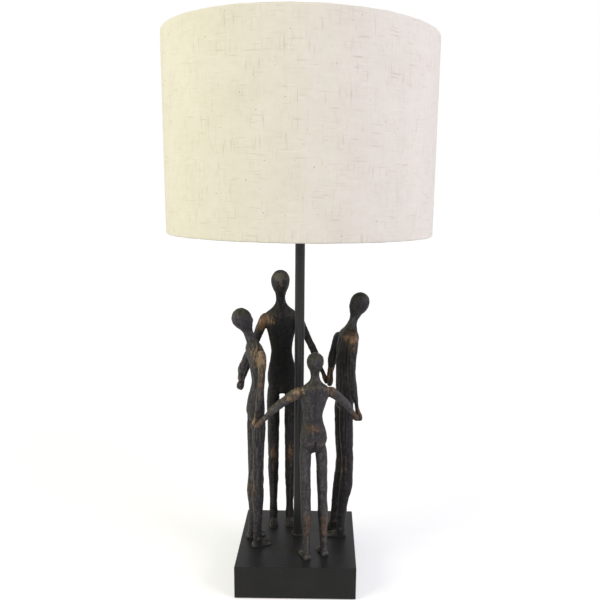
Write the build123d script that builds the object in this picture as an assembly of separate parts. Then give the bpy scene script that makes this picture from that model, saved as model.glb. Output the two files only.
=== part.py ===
"""Figural table lamp: four cast figures holding hands round a black pole, with a linen drum shade.

Millimetres, +Z up. The origin is on the table, under the axis of the pole. -Y is the front of the lamp,
the side that the smallest figure turns its back to.
"""
from build123d import *
import math
import os
from dataclasses import dataclass, field

os.makedirs("parts", exist_ok=True)

# ---------------------------------------------------------------- base
BASE_SIDE = 140.0  # the square block, along X and Y
BASE_TOP = 40.0  # the block's top face, above the table
BASE_BACKSET = 8.0  # the pole stands this far behind the block's middle
BASE_WALL = 12.0
BASE_DECK = 10.0  # thickness of the block over its hollow
BASE_EDGE = 1.2  # rounding of the outer edges
FELT_THICKNESS = 1.5
FELT_INSET = 2.0
COVER_THICKNESS = 2.0
COVER_LIP = 3.0  # how far the cover overlaps the walls, in a rebate
COVER_CLEARANCE = 0.3
POST_RADIUS = 6.0  # corner posts that take the cover's screws
POST_INSET = 5.0  # from the hollow's corner to the post's axis, along X and Y
COVER_SCREW_LENGTH = 12.0

BALLAST_WIDTH = 90.0
BALLAST_DEPTH = 40.0
BALLAST_HEIGHT = 18.0
BALLAST_FORWARD = 33.0  # from the block's middle to the ballast's middle
BALLAST_STANDOFF = 4.0  # length of the bosses that it hangs from
BALLAST_SCREW_SPACING = 80.0
BALLAST_SCREW_DEPTH = 6.0  # how far its screws go into the deck
BOSS_RADIUS = 5.0

# ---------------------------------------------------------------- screws
SCREW_RADIUS = 1.5
SCREW_HEAD_RADIUS = 3.0
SCREW_HEAD_HEIGHT = 2.0
SCREW_CLEARANCE = 0.1  # round every screw, in radius
FOOT_SCREW_DEPTH = 13.0  # how far a screw goes up into a foot
FOOT_SCREW_FORWARD = 1.5  # from the ankle to the screw, towards the toes

# ---------------------------------------------------------------- cord inlet and inner lead
INLET_HEIGHT = 12.0
GLAND_BORE_RADIUS = 3.2
GLAND_RADIUS = 6.0
GLAND_FLANGE_RADIUS = 8.0
GLAND_FLANGE = 2.0
GLAND_CLEARANCE = 0.1
LEAD_RADIUS = 2.5
LEAD_BEND = 15.0  # radius of the turn up into the pole
LEAD_DIP_BEND = 24.0  # radius of its two slack turns down to the cover
LEAD_DIP_START = 4.0  # straight stretch past the clamp
LEAD_DIP_END = 7.0  # from the foot of the dip to the turn up
LEAD_CLEARANCE = 0.1
CLAMP_LENGTH = 6.0  # along the lead
CLAMP_WIDTH = 26.0
CLAMP_FLOOR = 3.0  # under the lead
CLAMP_GAP = 4.0  # from the gland to the clamp
CLAMP_SCREW_SPACING = 17.0
CORE_RADIUS = 1.0
CORE_SPACING = 2.6

# ---------------------------------------------------------------- pole
POLE_RADIUS = 5.7
POLE_WALL = 1.0
POLE_CLEARANCE = 0.15
POLE_TAIL = 1.5  # thread showing under the nut
COLLAR_RADIUS = 8.0
COLLAR_HEIGHT = 2.5
WASHER_RADIUS = 10.0
WASHER_THICKNESS = 1.5
NUT_ACROSS_FLATS = 17.0
NUT_HEIGHT = 5.0

# ---------------------------------------------------------------- shade
SHADE_RADIUS = 150.0
SHADE_BOTTOM = 415.0
SHADE_HEIGHT = 210.0
FABRIC_THICKNESS = 0.8
LINER_THICKNESS = 0.4
LINER_GAP = 0.1
LINER_SETBACK = 4.0  # from the rim wires to the liner's ends
RIM_WIRE_RADIUS = 1.5
HEM_CLEARANCE = 0.7  # between the rim wire and the fabric rolled round it
HEM_TAIL = 3.0  # fabric tucked down inside the rim
FITTER_RISE = 37.0  # from the shade's lower edge to the seat of its fitter ring
FITTER_RADIUS = 25.5
FITTER_BORE_RADIUS = 20.5
FITTER_THICKNESS = 1.5
SPIDER_ARMS = 3
SPIDER_WIRE_RADIUS = 1.3
SPIDER_TURN = 90.0  # direction of the first arm, towards the back
WELD_GAP = 0.02  # between an arm's end and the rim wire
NOTCH_CLEARANCE = 0.4  # round each arm, where it passes the hem

# ---------------------------------------------------------------- lampholder
HOLDER_RADIUS = 19.5
HOLDER_WALL = 2.0
SKIRT_RADIUS = 19.3  # threaded skirt that the shade ring runs on
SKIRT_HEIGHT = 24.0
SHOULDER_RADIUS = 23.0
SHOULDER_THICKNESS = 3.0
BODY_BELOW_SEAT = 14.0  # from the body's lower edge to the seat
CAP_HEIGHT = 18.0
CAP_NECK_RADIUS = 8.0
CAP_NECK_HEIGHT = 8.0
CAP_THREAD_DEPTH = 10.0
INSERT_CLEARANCE = 0.4
INSERT_FLOOR_BELOW_SEAT = 2.0
SHELL_RADIUS = 13.6  # inside of the screw shell
SHELL_THICKNESS = 0.4
SHELL_RIM_GAP = 3.0  # from the skirt's top down to the shell
TONGUE_THICKNESS = 0.5
TONGUE_WIDTH = 6.0
TONGUE_LENGTH = 16.0
TERMINAL_SIDE = 5.0
TERMINAL_HEIGHT = 5.0
TERMINAL_OFFSET = 8.0  # from the axis to each terminal
TERMINAL_SCREW_RADIUS = 1.2
TERMINAL_SCREW_LENGTH = 2.0
SWITCH_BAR_RADIUS = 2.5
SWITCH_BAR_REACH = 9.0  # how far each end stands out of the body at mid travel
SWITCH_TRAVEL = 6.0
SWITCH_KNOB_RADIUS = 3.6
SWITCH_KNOB_LENGTH = 3.0
SWITCH_CLEARANCE = 0.08
SWITCH_BELOW_SEAT = 7.0
GRUB_RADIUS = 1.5
GRUB_HEIGHT = 4.0  # above the cap's lower face

SHADE_RING_RADIUS = 27.0
SHADE_RING_HEIGHT = 8.0
SHADE_RING_LIP = 2.0  # thickness of the ring's lower flange
SHADE_RING_CLEARANCE = 0.2
SHADE_RING_RIBS = 18
SHADE_RING_RIB_RADIUS = 1.0
SEAT_CLEARANCE = 0.1

# ---------------------------------------------------------------- bulb
BULB_RADIUS = 30.0
BULB_LENGTH = 104.0
BULB_CAP_RADIUS = 13.2
BULB_CAP_LENGTH = 22.0
BULB_NECK_RADIUS = 12.6
BULB_GLASS_WALL = 0.8
BULB_THREAD_PITCH = 3.6
BULB_THREAD_DEPTH = 0.7
BULB_THREADS = 5
BULB_TIP_RADIUS = 4.5
BULB_TIP_HEIGHT = 1.5
BULB_CONE_HEIGHT = 4.0
BULB_TONGUE_GAP = 0.1
STEM_RADIUS = 4.0
STEM_LENGTH = 44.0
FILAMENTS = 6
FILAMENT_RADIUS = 1.0
FILAMENT_LENGTH = 30.0
FILAMENT_CIRCLE = 9.0  # at their feet
FILAMENT_TOP_CIRCLE = 5.4
FILAMENT_RISE = 14.0  # from the stem's foot to theirs
STEM_WIRE_RADIUS = 0.4
STEM_WIRE_GAP = 0.1

# ---------------------------------------------------------------- figures
# One slender build serves all four. Its sizes are those of a figure 300 mm tall, in mm.
BUILD_HEIGHT = 300.0
# Trunk, neck and head from the crotch up: height, half width, half depth, ahead of the spine.
TRUNK = [
    (158.0, 8.5, 6.5, 0.0),
    (165.0, 14.6, 9.0, -0.6),
    (176.0, 16.6, 10.2, -1.2),
    (190.0, 15.0, 9.2, -0.6),
    (208.0, 11.8, 7.4, 0.8),
    (222.0, 13.8, 8.6, 0.4),
    (234.0, 16.6, 9.4, -0.6),
    (243.0, 18.8, 9.6, -1.2),
    (249.5, 18.6, 9.2, -1.2),
    (254.0, 14.2, 8.2, -1.0),
    (258.0, 9.4, 6.8, -0.8),
    (262.0, 6.5, 5.7, -0.6),
    (268.0, 5.2, 5.2, 0.0),
    (274.0, 6.0, 6.4, 0.4),
    (280.0, 8.9, 9.8, 0.6),
    (287.0, 10.4, 11.6, 0.4),
    (293.0, 9.4, 10.4, 0.0),
    (297.5, 6.2, 6.8, 0.0),
    (299.6, 2.2, 2.4, 0.0),
]
# Heights at which each pose says how far the spine stands ahead of the ankles, and to the left.
SPINE_STATIONS = (150.0, 176.0, 207.0, 240.0, 262.5, 287.0, 300.0)
# Leg from inside the pelvis down to the ankle: height, half width, half depth, out from the straight line.
LEG = [
    (172.0, 5.5, 6.5, -0.8),
    (158.0, 7.4, 8.6, 0.0),
    (142.0, 6.8, 8.2, 0.8),
    (115.0, 6.3, 7.4, 0.8),
    (92.0, 6.2, 6.9, 0.4),
    (82.0, 6.0, 7.0, 0.2),
    (66.0, 6.1, 7.4, 0.2),
    (45.0, 5.2, 6.0, 0.0),
    (24.0, 4.4, 5.0, 0.0),
    (12.0, 4.4, 5.2, 0.0),
    (3.0, 4.8, 6.4, 0.0),
]
HIP_OFFSET = 9.6  # from the middle to the top of each leg
HIP_HEIGHT = 168.0
KNEE_HEIGHT = 86.0
KNEE_REACH = 45.0  # a knee's bend fades out this far above and below it
# Foot from heel to toe: distance ahead of the ankle, half width, height over the sole.
FOOT = [
    (-7.6, 2.6, 4.0),
    (-5.0, 4.4, 7.5),
    (0.0, 4.9, 9.6),
    (6.0, 4.9, 7.4),
    (11.0, 5.3, 5.4),
    (15.0, 4.9, 3.9),
    (17.8, 3.0, 2.4),
]
SHOULDER_HEIGHT = 245.0
SHOULDER_OFFSET = 18.6
# Arm from inside the shoulder to the wrist: share of its length, radius.
ARM = [(-0.085, 1.6), (-0.055, 3.8), (0.0, 5.2), (0.1, 5.4), (0.26, 4.8), (0.5, 4.1), (0.72, 3.8), (0.9, 3.1)]
# Hand past the wrist: distance from the wrist, half width, half thickness.
HAND = [(1.0, 3.2, 2.8), (4.5, 3.9, 3.0), (8.5, 3.9, 2.7), (11.0, 2.4, 1.7)]
PALM_FROM_WRIST = 5.0
PALM_OFFSET = 2.2  # from the face that two hands share to the middle of each palm
GRIP_BLOCK = 30.0  # the other hand's side is cleared this far round a grip

# Where hands meet, in the lamp's frame.
GRIP_TALL_LEFT = (-73.5, 18.0, 228.0)
GRIP_TALL_RIGHT = (33.5, 28.0, 234.0)
GRIP_CHILD_LEFT = (-48.5, -39.0, 197.0)
GRIP_CHILD_RIGHT = (69.5, -20.0, 203.0)


@dataclass
class Pose:
    """How one figure stands. Offsets are in mm for that figure's own height."""

    place: tuple  # between the ankles, on the base
    facing: float  # degrees from +X, anticlockwise
    height: float
    girth: float  # widths against the common build
    stance: float  # from the middle to each ankle
    stride: float  # how far the left foot is ahead of the right one
    arm_girth: dict  # each arm against the common build
    twist: float  # turn of the shoulders against the feet, in degrees anticlockwise
    lean: tuple  # spine ahead of the ankles, at SPINE_STATIONS
    sway: tuple  # spine to the left of the ankles, at SPINE_STATIONS
    knee_back: float = 0.0
    grips: dict = field(default_factory=dict)  # side -> (grip, bow of the arm as forward, left, up)


POSES = {
    "figure_tall": Pose(
        place=(-22.9, 33.5),
        facing=-84.0,
        height=329.0,
        girth=1.0,
        stance=10.5,
        stride=0.0,
        arm_girth={"left": 0.95, "right": 1.05},
        twist=0.0,
        lean=(0.0, 1.0, 1.5, 0.5, 0.0, 1.0, 1.0),
        sway=(0.0, 0.5, -0.5, -1.0, -1.5, -2.0, -2.5),
        grips={
            "right": (GRIP_TALL_LEFT, (-2.0, -1.0, 0.0)),
            "left": (GRIP_TALL_RIGHT, (-2.0, 1.5, 0.0)),
        },
    ),
    "figure_left": Pose(
        place=(-52.0, -18.5),
        facing=21.5,
        height=291.0,
        girth=0.96,
        stance=11.3,
        stride=0.0,
        arm_girth={"left": 1.0, "right": 1.0},
        twist=5.0,
        lean=(2.2, 2.9, 3.9, 4.4, -2.7, -13.7, -18.0),
        sway=(0.0, 0.0, 0.0, 0.0, 0.0, 0.0, 0.0),
        grips={
            "right": (GRIP_CHILD_LEFT, (2.5, -2.0, 0.0)),
            "left": (GRIP_TALL_LEFT, (-1.8, 3.0, 0.0)),
        },
    ),
    "figure_right": Pose(
        place=(48.5, 7.0),
        facing=180.0,
        height=306.5,
        girth=1.0,
        stance=9.0,
        stride=-8.0,
        arm_girth={"left": 1.05, "right": 1.35},
        twist=22.0,
        lean=(-6.0, -6.0, -4.0, -7.0, -13.0, -22.3, -25.5),
        sway=(0.0, 0.0, 0.0, 0.0, 0.0, 0.0, 0.0),
        knee_back=5.0,
        grips={
            "left": (GRIP_CHILD_RIGHT, (4.5, 1.0, 0.0)),
            "right": (GRIP_TALL_RIGHT, (2.5, -4.0, 0.0)),
        },
    ),
    "figure_child": Pose(
        place=(22.3, -50.0),
        facing=115.0,
        height=246.0,
        girth=1.14,
        stance=11.3,
        stride=0.0,
        arm_girth={"left": 1.2, "right": 1.2},
        twist=-14.0,
        lean=(4.0, 4.0, 4.0, 3.0, 2.0, 3.0, 3.0),
        sway=(2.5, 2.5, 3.0, 2.5, 2.0, 1.5, 1.0),
        grips={
            "left": (GRIP_CHILD_LEFT, (-2.0, 1.0, 4.0)),
            "right": (GRIP_CHILD_RIGHT, (-2.0, -1.0, 2.5)),
        },
    ),
}

# ---------------------------------------------------------------- sizes that follow
BASE_MID_Y = -BASE_BACKSET
BASE_BOTTOM = FELT_THICKNESS
CEILING = BASE_TOP - BASE_DECK
HOLLOW_SIDE = BASE_SIDE - 2 * BASE_WALL
COVER_TOP = BASE_BOTTOM + COVER_THICKNESS
BACK_FACE = BASE_MID_Y + BASE_SIDE / 2
BACK_WALL_INSIDE = BACK_FACE - BASE_WALL
NUT_TOP = CEILING - WASHER_THICKNESS
POLE_FOOT = NUT_TOP - NUT_HEIGHT - POLE_TAIL
LEAD_FLOOR = POLE_FOOT - LEAD_BEND  # height of the lead where it lies along the cover
CLAMP_BACK = BACK_WALL_INSIDE - GLAND_FLANGE - CLAMP_GAP
CLAMP_MID = CLAMP_BACK - CLAMP_LENGTH / 2
CLAMP_TOP = INLET_HEIGHT + LEAD_RADIUS + LEAD_CLEARANCE
CLAMP_BOTTOM = INLET_HEIGHT - LEAD_RADIUS - LEAD_CLEARANCE - CLAMP_FLOOR
FITTER_SEAT = SHADE_BOTTOM + FITTER_RISE
BODY_BOTTOM = FITTER_SEAT - BODY_BELOW_SEAT
CAP_BOTTOM = BODY_BOTTOM - CAP_HEIGHT
POLE_TOP = CAP_BOTTOM + CAP_THREAD_DEPTH
SKIRT_TOP = FITTER_SEAT + SKIRT_HEIGHT
INSERT_FLOOR = FITTER_SEAT - INSERT_FLOOR_BELOW_SEAT
SWITCH_HEIGHT = FITTER_SEAT - SWITCH_BELOW_SEAT
BULB_BOTTOM = INSERT_FLOOR + TONGUE_THICKNESS + BULB_TONGUE_GAP
SHADE_TOP = SHADE_BOTTOM + SHADE_HEIGHT
HEM_RADIUS = RIM_WIRE_RADIUS + HEM_CLEARANCE + FABRIC_THICKNESS
RIM_WIRE_CIRCLE = SHADE_RADIUS - HEM_RADIUS
LOWER_WIRE = SHADE_BOTTOM + HEM_RADIUS
UPPER_WIRE = SHADE_TOP - HEM_RADIUS


# ---------------------------------------------------------------- helpers
def drum(radius, bottom, top, x=0.0, y=0.0):
    """A solid cylinder that stands on end."""
    return Pos(x, y, bottom) * Cylinder(radius, top - bottom, align=(Align.CENTER, Align.CENTER, Align.MIN))


def tube(outer, inner, bottom, top, x=0.0, y=0.0):
    return drum(outer, bottom, top, x, y) - drum(inner, bottom - 1, top + 1, x, y)


def slab(width, depth, bottom, top, x=0.0, y=0.0):
    return Pos(x, y, bottom) * Box(width, depth, top - bottom, align=(Align.CENTER, Align.CENTER, Align.MIN))


def rod(start, end, radius):
    """A round rod between two points."""
    line = Vector(*end) - Vector(*start)
    return Plane(origin=start, z_dir=line) * Cylinder(
        radius, line.length, align=(Align.CENTER, Align.CENTER, Align.MIN)
    )


def turned(points):
    """A solid turned about the Z axis from its half section, given as (radius, height) corners."""
    section = make_face(Polyline(*[(r, 0, z) for r, z in points], close=True))
    return revolve(section, Axis.Z)


def pan_screw(x, y, seat, tip, up=True):
    """A screw whose head lies under the seat, and whose shank rises to the tip."""
    return drum(SCREW_RADIUS, seat, tip, x, y) + drum(SCREW_HEAD_RADIUS, seat - SCREW_HEAD_HEIGHT, seat, x, y)


def screw_hole(x, y, bottom, top):
    return drum(SCREW_RADIUS + SCREW_CLEARANCE, bottom, top, x, y)


def along(values, stations, height):
    """Reads a profile between its stations, in straight lines."""
    if height <= stations[0]:
        return values[0]
    for i in range(1, len(stations)):
        if height <= stations[i]:
            share = (height - stations[i - 1]) / (stations[i] - stations[i - 1])
            return values[i - 1] + share * (values[i] - values[i - 1])
    return values[-1]


def limb(points, sizes, across):
    """A smooth solid through ellipses square to a path, each with its half width, its half depth and the
    direction of its width."""
    sections = []
    for i, point in enumerate(points):
        before, after = points[max(i - 1, 0)], points[min(i + 1, len(points) - 1)]
        plane = Plane(origin=point, x_dir=across[i], z_dir=after - before)
        sections.append(plane * Ellipse(*sizes[i]))
    return loft(sections)


# ---------------------------------------------------------------- figures
class Body:
    """Places one figure's landmarks in the lamp's frame."""

    def __init__(self, pose):
        self.pose = pose
        self.scale = pose.height / BUILD_HEIGHT
        turn = math.radians(pose.facing)
        self.forward = Vector(math.cos(turn), math.sin(turn), 0)
        self.left = Vector(-math.sin(turn), math.cos(turn), 0)
        self.origin = Vector(*pose.place, BASE_TOP)

    def at(self, forward, left, up):
        return self.origin + self.forward * forward + self.left * left + Vector(0, 0, up)

    def spine(self, height):
        """The spine at a height of the common build."""
        forward = along(self.pose.lean, SPINE_STATIONS, height)
        left = along(self.pose.sway, SPINE_STATIONS, height)
        return self.at(forward, left, height * self.scale)

    def turned_left(self, height):
        """The figure's left at a height of the common build: it turns with the twist, up to the shoulders."""
        share = min(height / SHOULDER_HEIGHT, 1.0)
        return self.left.rotate(Axis.Z, self.pose.twist * share)

    def shoulder(self, side):
        sign = 1 if side == "left" else -1
        offset = sign * SHOULDER_OFFSET * self.scale * self.pose.girth
        return self.spine(SHOULDER_HEIGHT) + self.turned_left(SHOULDER_HEIGHT) * offset

    def ankle(self, side):
        """The ankle's place on the base: how far forward and how far to the left."""
        sign = 1 if side == "left" else -1
        return sign * self.pose.stride / 2, sign * self.pose.stance

    def foot_screw(self, side):
        forward, left = self.ankle(side)
        return self.at(forward + FOOT_SCREW_FORWARD, left, 0)


BODIES = {name: Body(pose) for name, pose in POSES.items()}


def figure_trunk(body):
    girth = body.scale * body.pose.girth
    points = [body.spine(height) + body.forward * ahead * girth for height, _, _, ahead in TRUNK]
    sizes = [(width * girth, depth * girth) for _, width, depth, _ in TRUNK]
    return limb(points, sizes, [body.turned_left(height) for height, _, _, _ in TRUNK])


def figure_leg(body, side):
    girth = body.scale * body.pose.girth
    forward, left = body.ankle(side)
    sign = math.copysign(1, left)
    hip = body.spine(HIP_HEIGHT) + body.turned_left(HIP_HEIGHT) * sign * HIP_OFFSET * girth
    ankle = body.at(forward, left, 0)
    points = []
    for height, _, _, out in LEG:
        spot = ankle + (hip - ankle) * (height / HIP_HEIGHT)
        back = body.pose.knee_back * math.exp(-(((height - KNEE_HEIGHT) / KNEE_REACH) ** 2))
        spot += body.left * sign * out * girth - body.forward * back
        points.append(Vector(spot.X, spot.Y, BASE_TOP + height * body.scale))
    sizes = [(width * girth, depth * girth) for _, width, depth, _ in LEG]
    return limb(points, sizes, [body.turned_left(height) for height, _, _, _ in LEG])


def figure_foot(body, side):
    girth = body.scale * body.pose.girth
    forward, left = body.ankle(side)
    points = [body.at(forward + ahead * body.scale, left, 0) for ahead, _, _ in FOOT]
    return limb(points, [(width * girth, height * girth) for _, width, height in FOOT], [body.left] * len(FOOT))


def grip_normal(name, side):
    """The way from the other figure's shoulder to this one's, level: square to the face the two hands share."""
    grip = POSES[name].grips[side][0]
    for other, pose in POSES.items():
        for other_side, (other_grip, _) in pose.grips.items():
            if other != name and other_grip == grip:
                way = BODIES[name].shoulder(side) - BODIES[other].shoulder(other_side)
                return Vector(way.X, way.Y, 0).normalized()


def figure_arm(name, side):
    """An arm with its mitten of a hand, whose palm lies against the other figure's."""
    body = BODIES[name]
    girth = body.scale * body.pose.girth * body.pose.arm_girth[side]
    grip, (out, left, up) = body.pose.grips[side]
    normal = grip_normal(name, side)
    shoulder = body.shoulder(side)
    palm = Vector(*grip) + normal * PALM_OFFSET * girth
    way = (palm - shoulder).normalized()
    wrist = palm - way * PALM_FROM_WRIST * girth
    bow = body.forward * out + body.left * left + Vector(0, 0, up)
    points = []
    sizes = []
    for share, radius in ARM:
        bend = 4 * max(share, 0) * (1 - max(share, 0))
        points.append(shoulder + (wrist - shoulder) * share + bow * bend)
        sizes.append((radius * girth, radius * girth))
    reach = (wrist - points[-1]).normalized()
    for distance, width, thickness in HAND:
        points.append(wrist + reach * distance * girth)
        sizes.append((width * girth, thickness * girth))
    across = normal.cross(way).normalized()
    arm = limb(points, sizes, [across] * len(points))
    block = Box(GRIP_BLOCK, GRIP_BLOCK, GRIP_BLOCK, align=(Align.CENTER, Align.CENTER, Align.MIN))
    return arm - Plane(origin=grip, z_dir=normal * -1) * block


def figure(name):
    """One casting: trunk, legs, feet and arms, flat under the feet, with a blind hole for each foot's screw."""
    body = BODIES[name]
    solid = figure_trunk(body)
    for side in ("left", "right"):
        solid += figure_leg(body, side)
        solid += figure_foot(body, side)
        solid += figure_arm(name, side)
    solid -= slab(BASE_SIDE * 2, BASE_SIDE * 2, 0, BASE_TOP)
    for side in ("left", "right"):
        spot = body.foot_screw(side)
        solid -= screw_hole(spot.X, spot.Y, 0, BASE_TOP + FOOT_SCREW_DEPTH + SCREW_CLEARANCE)
    return solid


# ---------------------------------------------------------------- base
def foot_screw_spots():
    return [body.foot_screw(side) for body in BODIES.values() for side in ("left", "right")]


def post_spots():
    reach = HOLLOW_SIDE / 2 - POST_INSET
    return [(sx * reach, BASE_MID_Y + sy * reach) for sx in (-1, 1) for sy in (-1, 1)]


def ballast_spots():
    return [(s * BALLAST_SCREW_SPACING / 2, BASE_MID_Y - BALLAST_FORWARD) for s in (-1, 1)]


def clamp_spots():
    return [(s * CLAMP_SCREW_SPACING / 2, CLAMP_MID) for s in (-1, 1)]


def base_block():
    block = slab(BASE_SIDE, BASE_SIDE, BASE_BOTTOM, BASE_TOP, 0, BASE_MID_Y)
    block = fillet(block.edges().filter_by(Axis.Z), BASE_EDGE)
    block = fillet(block.faces().sort_by(Axis.Z)[-1].edges(), BASE_EDGE)
    block -= slab(HOLLOW_SIDE, HOLLOW_SIDE, BASE_BOTTOM - 1, CEILING, 0, BASE_MID_Y)
    for x, y in post_spots():
        block += drum(POST_RADIUS, COVER_TOP, CEILING, x, y)
    rebate = HOLLOW_SIDE + 2 * COVER_LIP
    block -= slab(rebate, rebate, BASE_BOTTOM - 1, COVER_TOP, 0, BASE_MID_Y)
    for x, y in ballast_spots():
        block += drum(BOSS_RADIUS, CEILING - BALLAST_STANDOFF, CEILING, x, y)
    block += slab(CLAMP_WIDTH, CLAMP_LENGTH, CLAMP_TOP, CEILING, 0, CLAMP_MID)
    block -= drum(POLE_RADIUS + POLE_CLEARANCE, 0, BASE_TOP + 1)
    for spot in foot_screw_spots():
        block -= screw_hole(spot.X, spot.Y, CEILING - 1, BASE_TOP + 1)
    for x, y in post_spots():
        block -= screw_hole(x, y, 0, BASE_BOTTOM + COVER_SCREW_LENGTH + SCREW_CLEARANCE)
    for x, y in ballast_spots():
        block -= screw_hole(x, y, 0, CEILING + BALLAST_SCREW_DEPTH + SCREW_CLEARANCE)
    for x, y in clamp_spots():
        block -= screw_hole(x, y, 0, CEILING - SCREW_CLEARANCE)
    inlet = rod((0, BACK_WALL_INSIDE - 1, INLET_HEIGHT), (0, BACK_FACE + 1, INLET_HEIGHT), GLAND_RADIUS + GLAND_CLEARANCE)
    return block - inlet


def felt_pad():
    side = BASE_SIDE - 2 * FELT_INSET
    pad = slab(side, side, 0, FELT_THICKNESS, 0, BASE_MID_Y)
    return fillet(pad.edges().filter_by(Axis.Z), BASE_EDGE)


def bottom_cover():
    side = HOLLOW_SIDE + 2 * COVER_LIP - 2 * COVER_CLEARANCE
    cover = slab(side, side, BASE_BOTTOM, COVER_TOP, 0, BASE_MID_Y)
    for x, y in post_spots():
        cover -= countersink(x, y, SCREW_CLEARANCE)
    return cover


def countersink(x, y, gap):
    """The flat-headed shape of a cover screw inside the cover, grown by a gap."""
    cone = Cone(
        SCREW_HEAD_RADIUS + gap,
        SCREW_RADIUS + gap,
        COVER_THICKNESS,
        align=(Align.CENTER, Align.CENTER, Align.MIN),
    )
    return Pos(x, y, BASE_BOTTOM) * cone


def cover_screws():
    tip = BASE_BOTTOM + COVER_SCREW_LENGTH
    return [countersink(x, y, 0) + drum(SCREW_RADIUS, COVER_TOP - 0.01, tip, x, y) for x, y in post_spots()]


def ballast_plate():
    top = CEILING - BALLAST_STANDOFF
    plate = slab(BALLAST_WIDTH, BALLAST_DEPTH, top - BALLAST_HEIGHT, top, 0, BASE_MID_Y - BALLAST_FORWARD)
    for x, y in ballast_spots():
        plate -= screw_hole(x, y, 0, BASE_TOP)
    return plate


def ballast_screws():
    seat = CEILING - BALLAST_STANDOFF - BALLAST_HEIGHT
    return [pan_screw(x, y, seat, CEILING + BALLAST_SCREW_DEPTH) for x, y in ballast_spots()]


def figure_screws():
    return [pan_screw(s.X, s.Y, CEILING, BASE_TOP + FOOT_SCREW_DEPTH) for s in foot_screw_spots()]


def cord_gland():
    """Rubber bush in the back wall, flanged on both faces."""
    sleeve = rod((0, BACK_WALL_INSIDE, INLET_HEIGHT), (0, BACK_FACE, INLET_HEIGHT), GLAND_RADIUS)
    for start in (BACK_WALL_INSIDE - GLAND_FLANGE, BACK_FACE):
        flange = rod((0, start, INLET_HEIGHT), (0, start + GLAND_FLANGE, INLET_HEIGHT), GLAND_FLANGE_RADIUS)
        sleeve += flange
    outer_rim = sleeve.edges().filter_by(GeomType.CIRCLE).sort_by(Axis.Y)[-1]
    sleeve = fillet(outer_rim, GLAND_FLANGE * 0.4)
    reach = GLAND_FLANGE + 1
    return sleeve - rod(
        (0, BACK_WALL_INSIDE - reach, INLET_HEIGHT), (0, BACK_FACE + reach, INLET_HEIGHT), GLAND_BORE_RADIUS
    )


def cord_clamp():
    bar = slab(CLAMP_WIDTH, CLAMP_LENGTH, CLAMP_BOTTOM, CLAMP_TOP, 0, CLAMP_MID)
    groove = 2 * (LEAD_RADIUS + LEAD_CLEARANCE)
    bar -= slab(groove, CLAMP_LENGTH + 2, CLAMP_BOTTOM + CLAMP_FLOOR, CLAMP_TOP + 1, 0, CLAMP_MID)
    for x, y in clamp_spots():
        bar -= screw_hole(x, y, 0, BASE_TOP)
    return bar


def clamp_screws():
    tip = CEILING - 2 * SCREW_CLEARANCE - 1
    return [pan_screw(x, y, CLAMP_BOTTOM, tip) for x, y in clamp_spots()]


# ---------------------------------------------------------------- pole
def pole_tube():
    return tube(POLE_RADIUS, POLE_RADIUS - POLE_WALL, POLE_FOOT, POLE_TOP)


def pole_collar():
    collar = tube(COLLAR_RADIUS, POLE_RADIUS + POLE_CLEARANCE, BASE_TOP, BASE_TOP + COLLAR_HEIGHT)
    rim = collar.edges().filter_by(GeomType.CIRCLE).group_by(Axis.Z)[-1].sort_by(SortBy.RADIUS)[-1]
    return fillet(rim, COLLAR_HEIGHT * 0.4)


def pole_washer():
    return tube(WASHER_RADIUS, POLE_RADIUS + POLE_CLEARANCE, NUT_TOP, CEILING)


def pole_nut():
    hexagon = RegularPolygon(NUT_ACROSS_FLATS / 2, 6, major_radius=False)
    nut = Pos(0, 0, NUT_TOP - NUT_HEIGHT) * extrude(hexagon, NUT_HEIGHT)
    return nut - drum(POLE_RADIUS + POLE_CLEARANCE, 0, BASE_TOP)


# ---------------------------------------------------------------- inner lead
def inner_lead():
    """Cable from the clamp behind the gland, along the hollow and up the pole to the lampholder's cap."""
    corners = [
        (0, CLAMP_BACK, INLET_HEIGHT),
        (0, CLAMP_BACK - CLAMP_LENGTH - LEAD_DIP_START, INLET_HEIGHT),
        (0, LEAD_BEND + LEAD_DIP_END, LEAD_FLOOR),
        (0, 0, LEAD_FLOOR),
        (0, 0, POLE_TOP - 1),
    ]
    route = FilletPolyline(*corners, radius=[LEAD_DIP_BEND, LEAD_DIP_BEND, LEAD_BEND])
    profile = Plane(origin=corners[0], z_dir=(0, -1, 0)) * Circle(LEAD_RADIUS)
    return sweep(profile, path=route)


def lead_core(side):
    """One insulated core, from the cable's end to its terminal."""
    start = CORE_SPACING / 2
    end = BODY_BOTTOM - TERMINAL_HEIGHT
    corners = [
        (side * start, 0, POLE_TOP - 1),
        (side * start, 0, POLE_TOP + 1),
        (side * TERMINAL_OFFSET, 0, end - 1.2),
        (side * TERMINAL_OFFSET, 0, end),
    ]
    route = Polyline(*corners)
    core = None
    for a, b in zip(corners, corners[1:]):
        piece = rod(a, b, CORE_RADIUS)
        joint = Pos(*b) * Sphere(CORE_RADIUS) if b != corners[-1] else None
        core = piece if core is None else core + piece
        if joint is not None:
            core += joint
    return core


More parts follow.
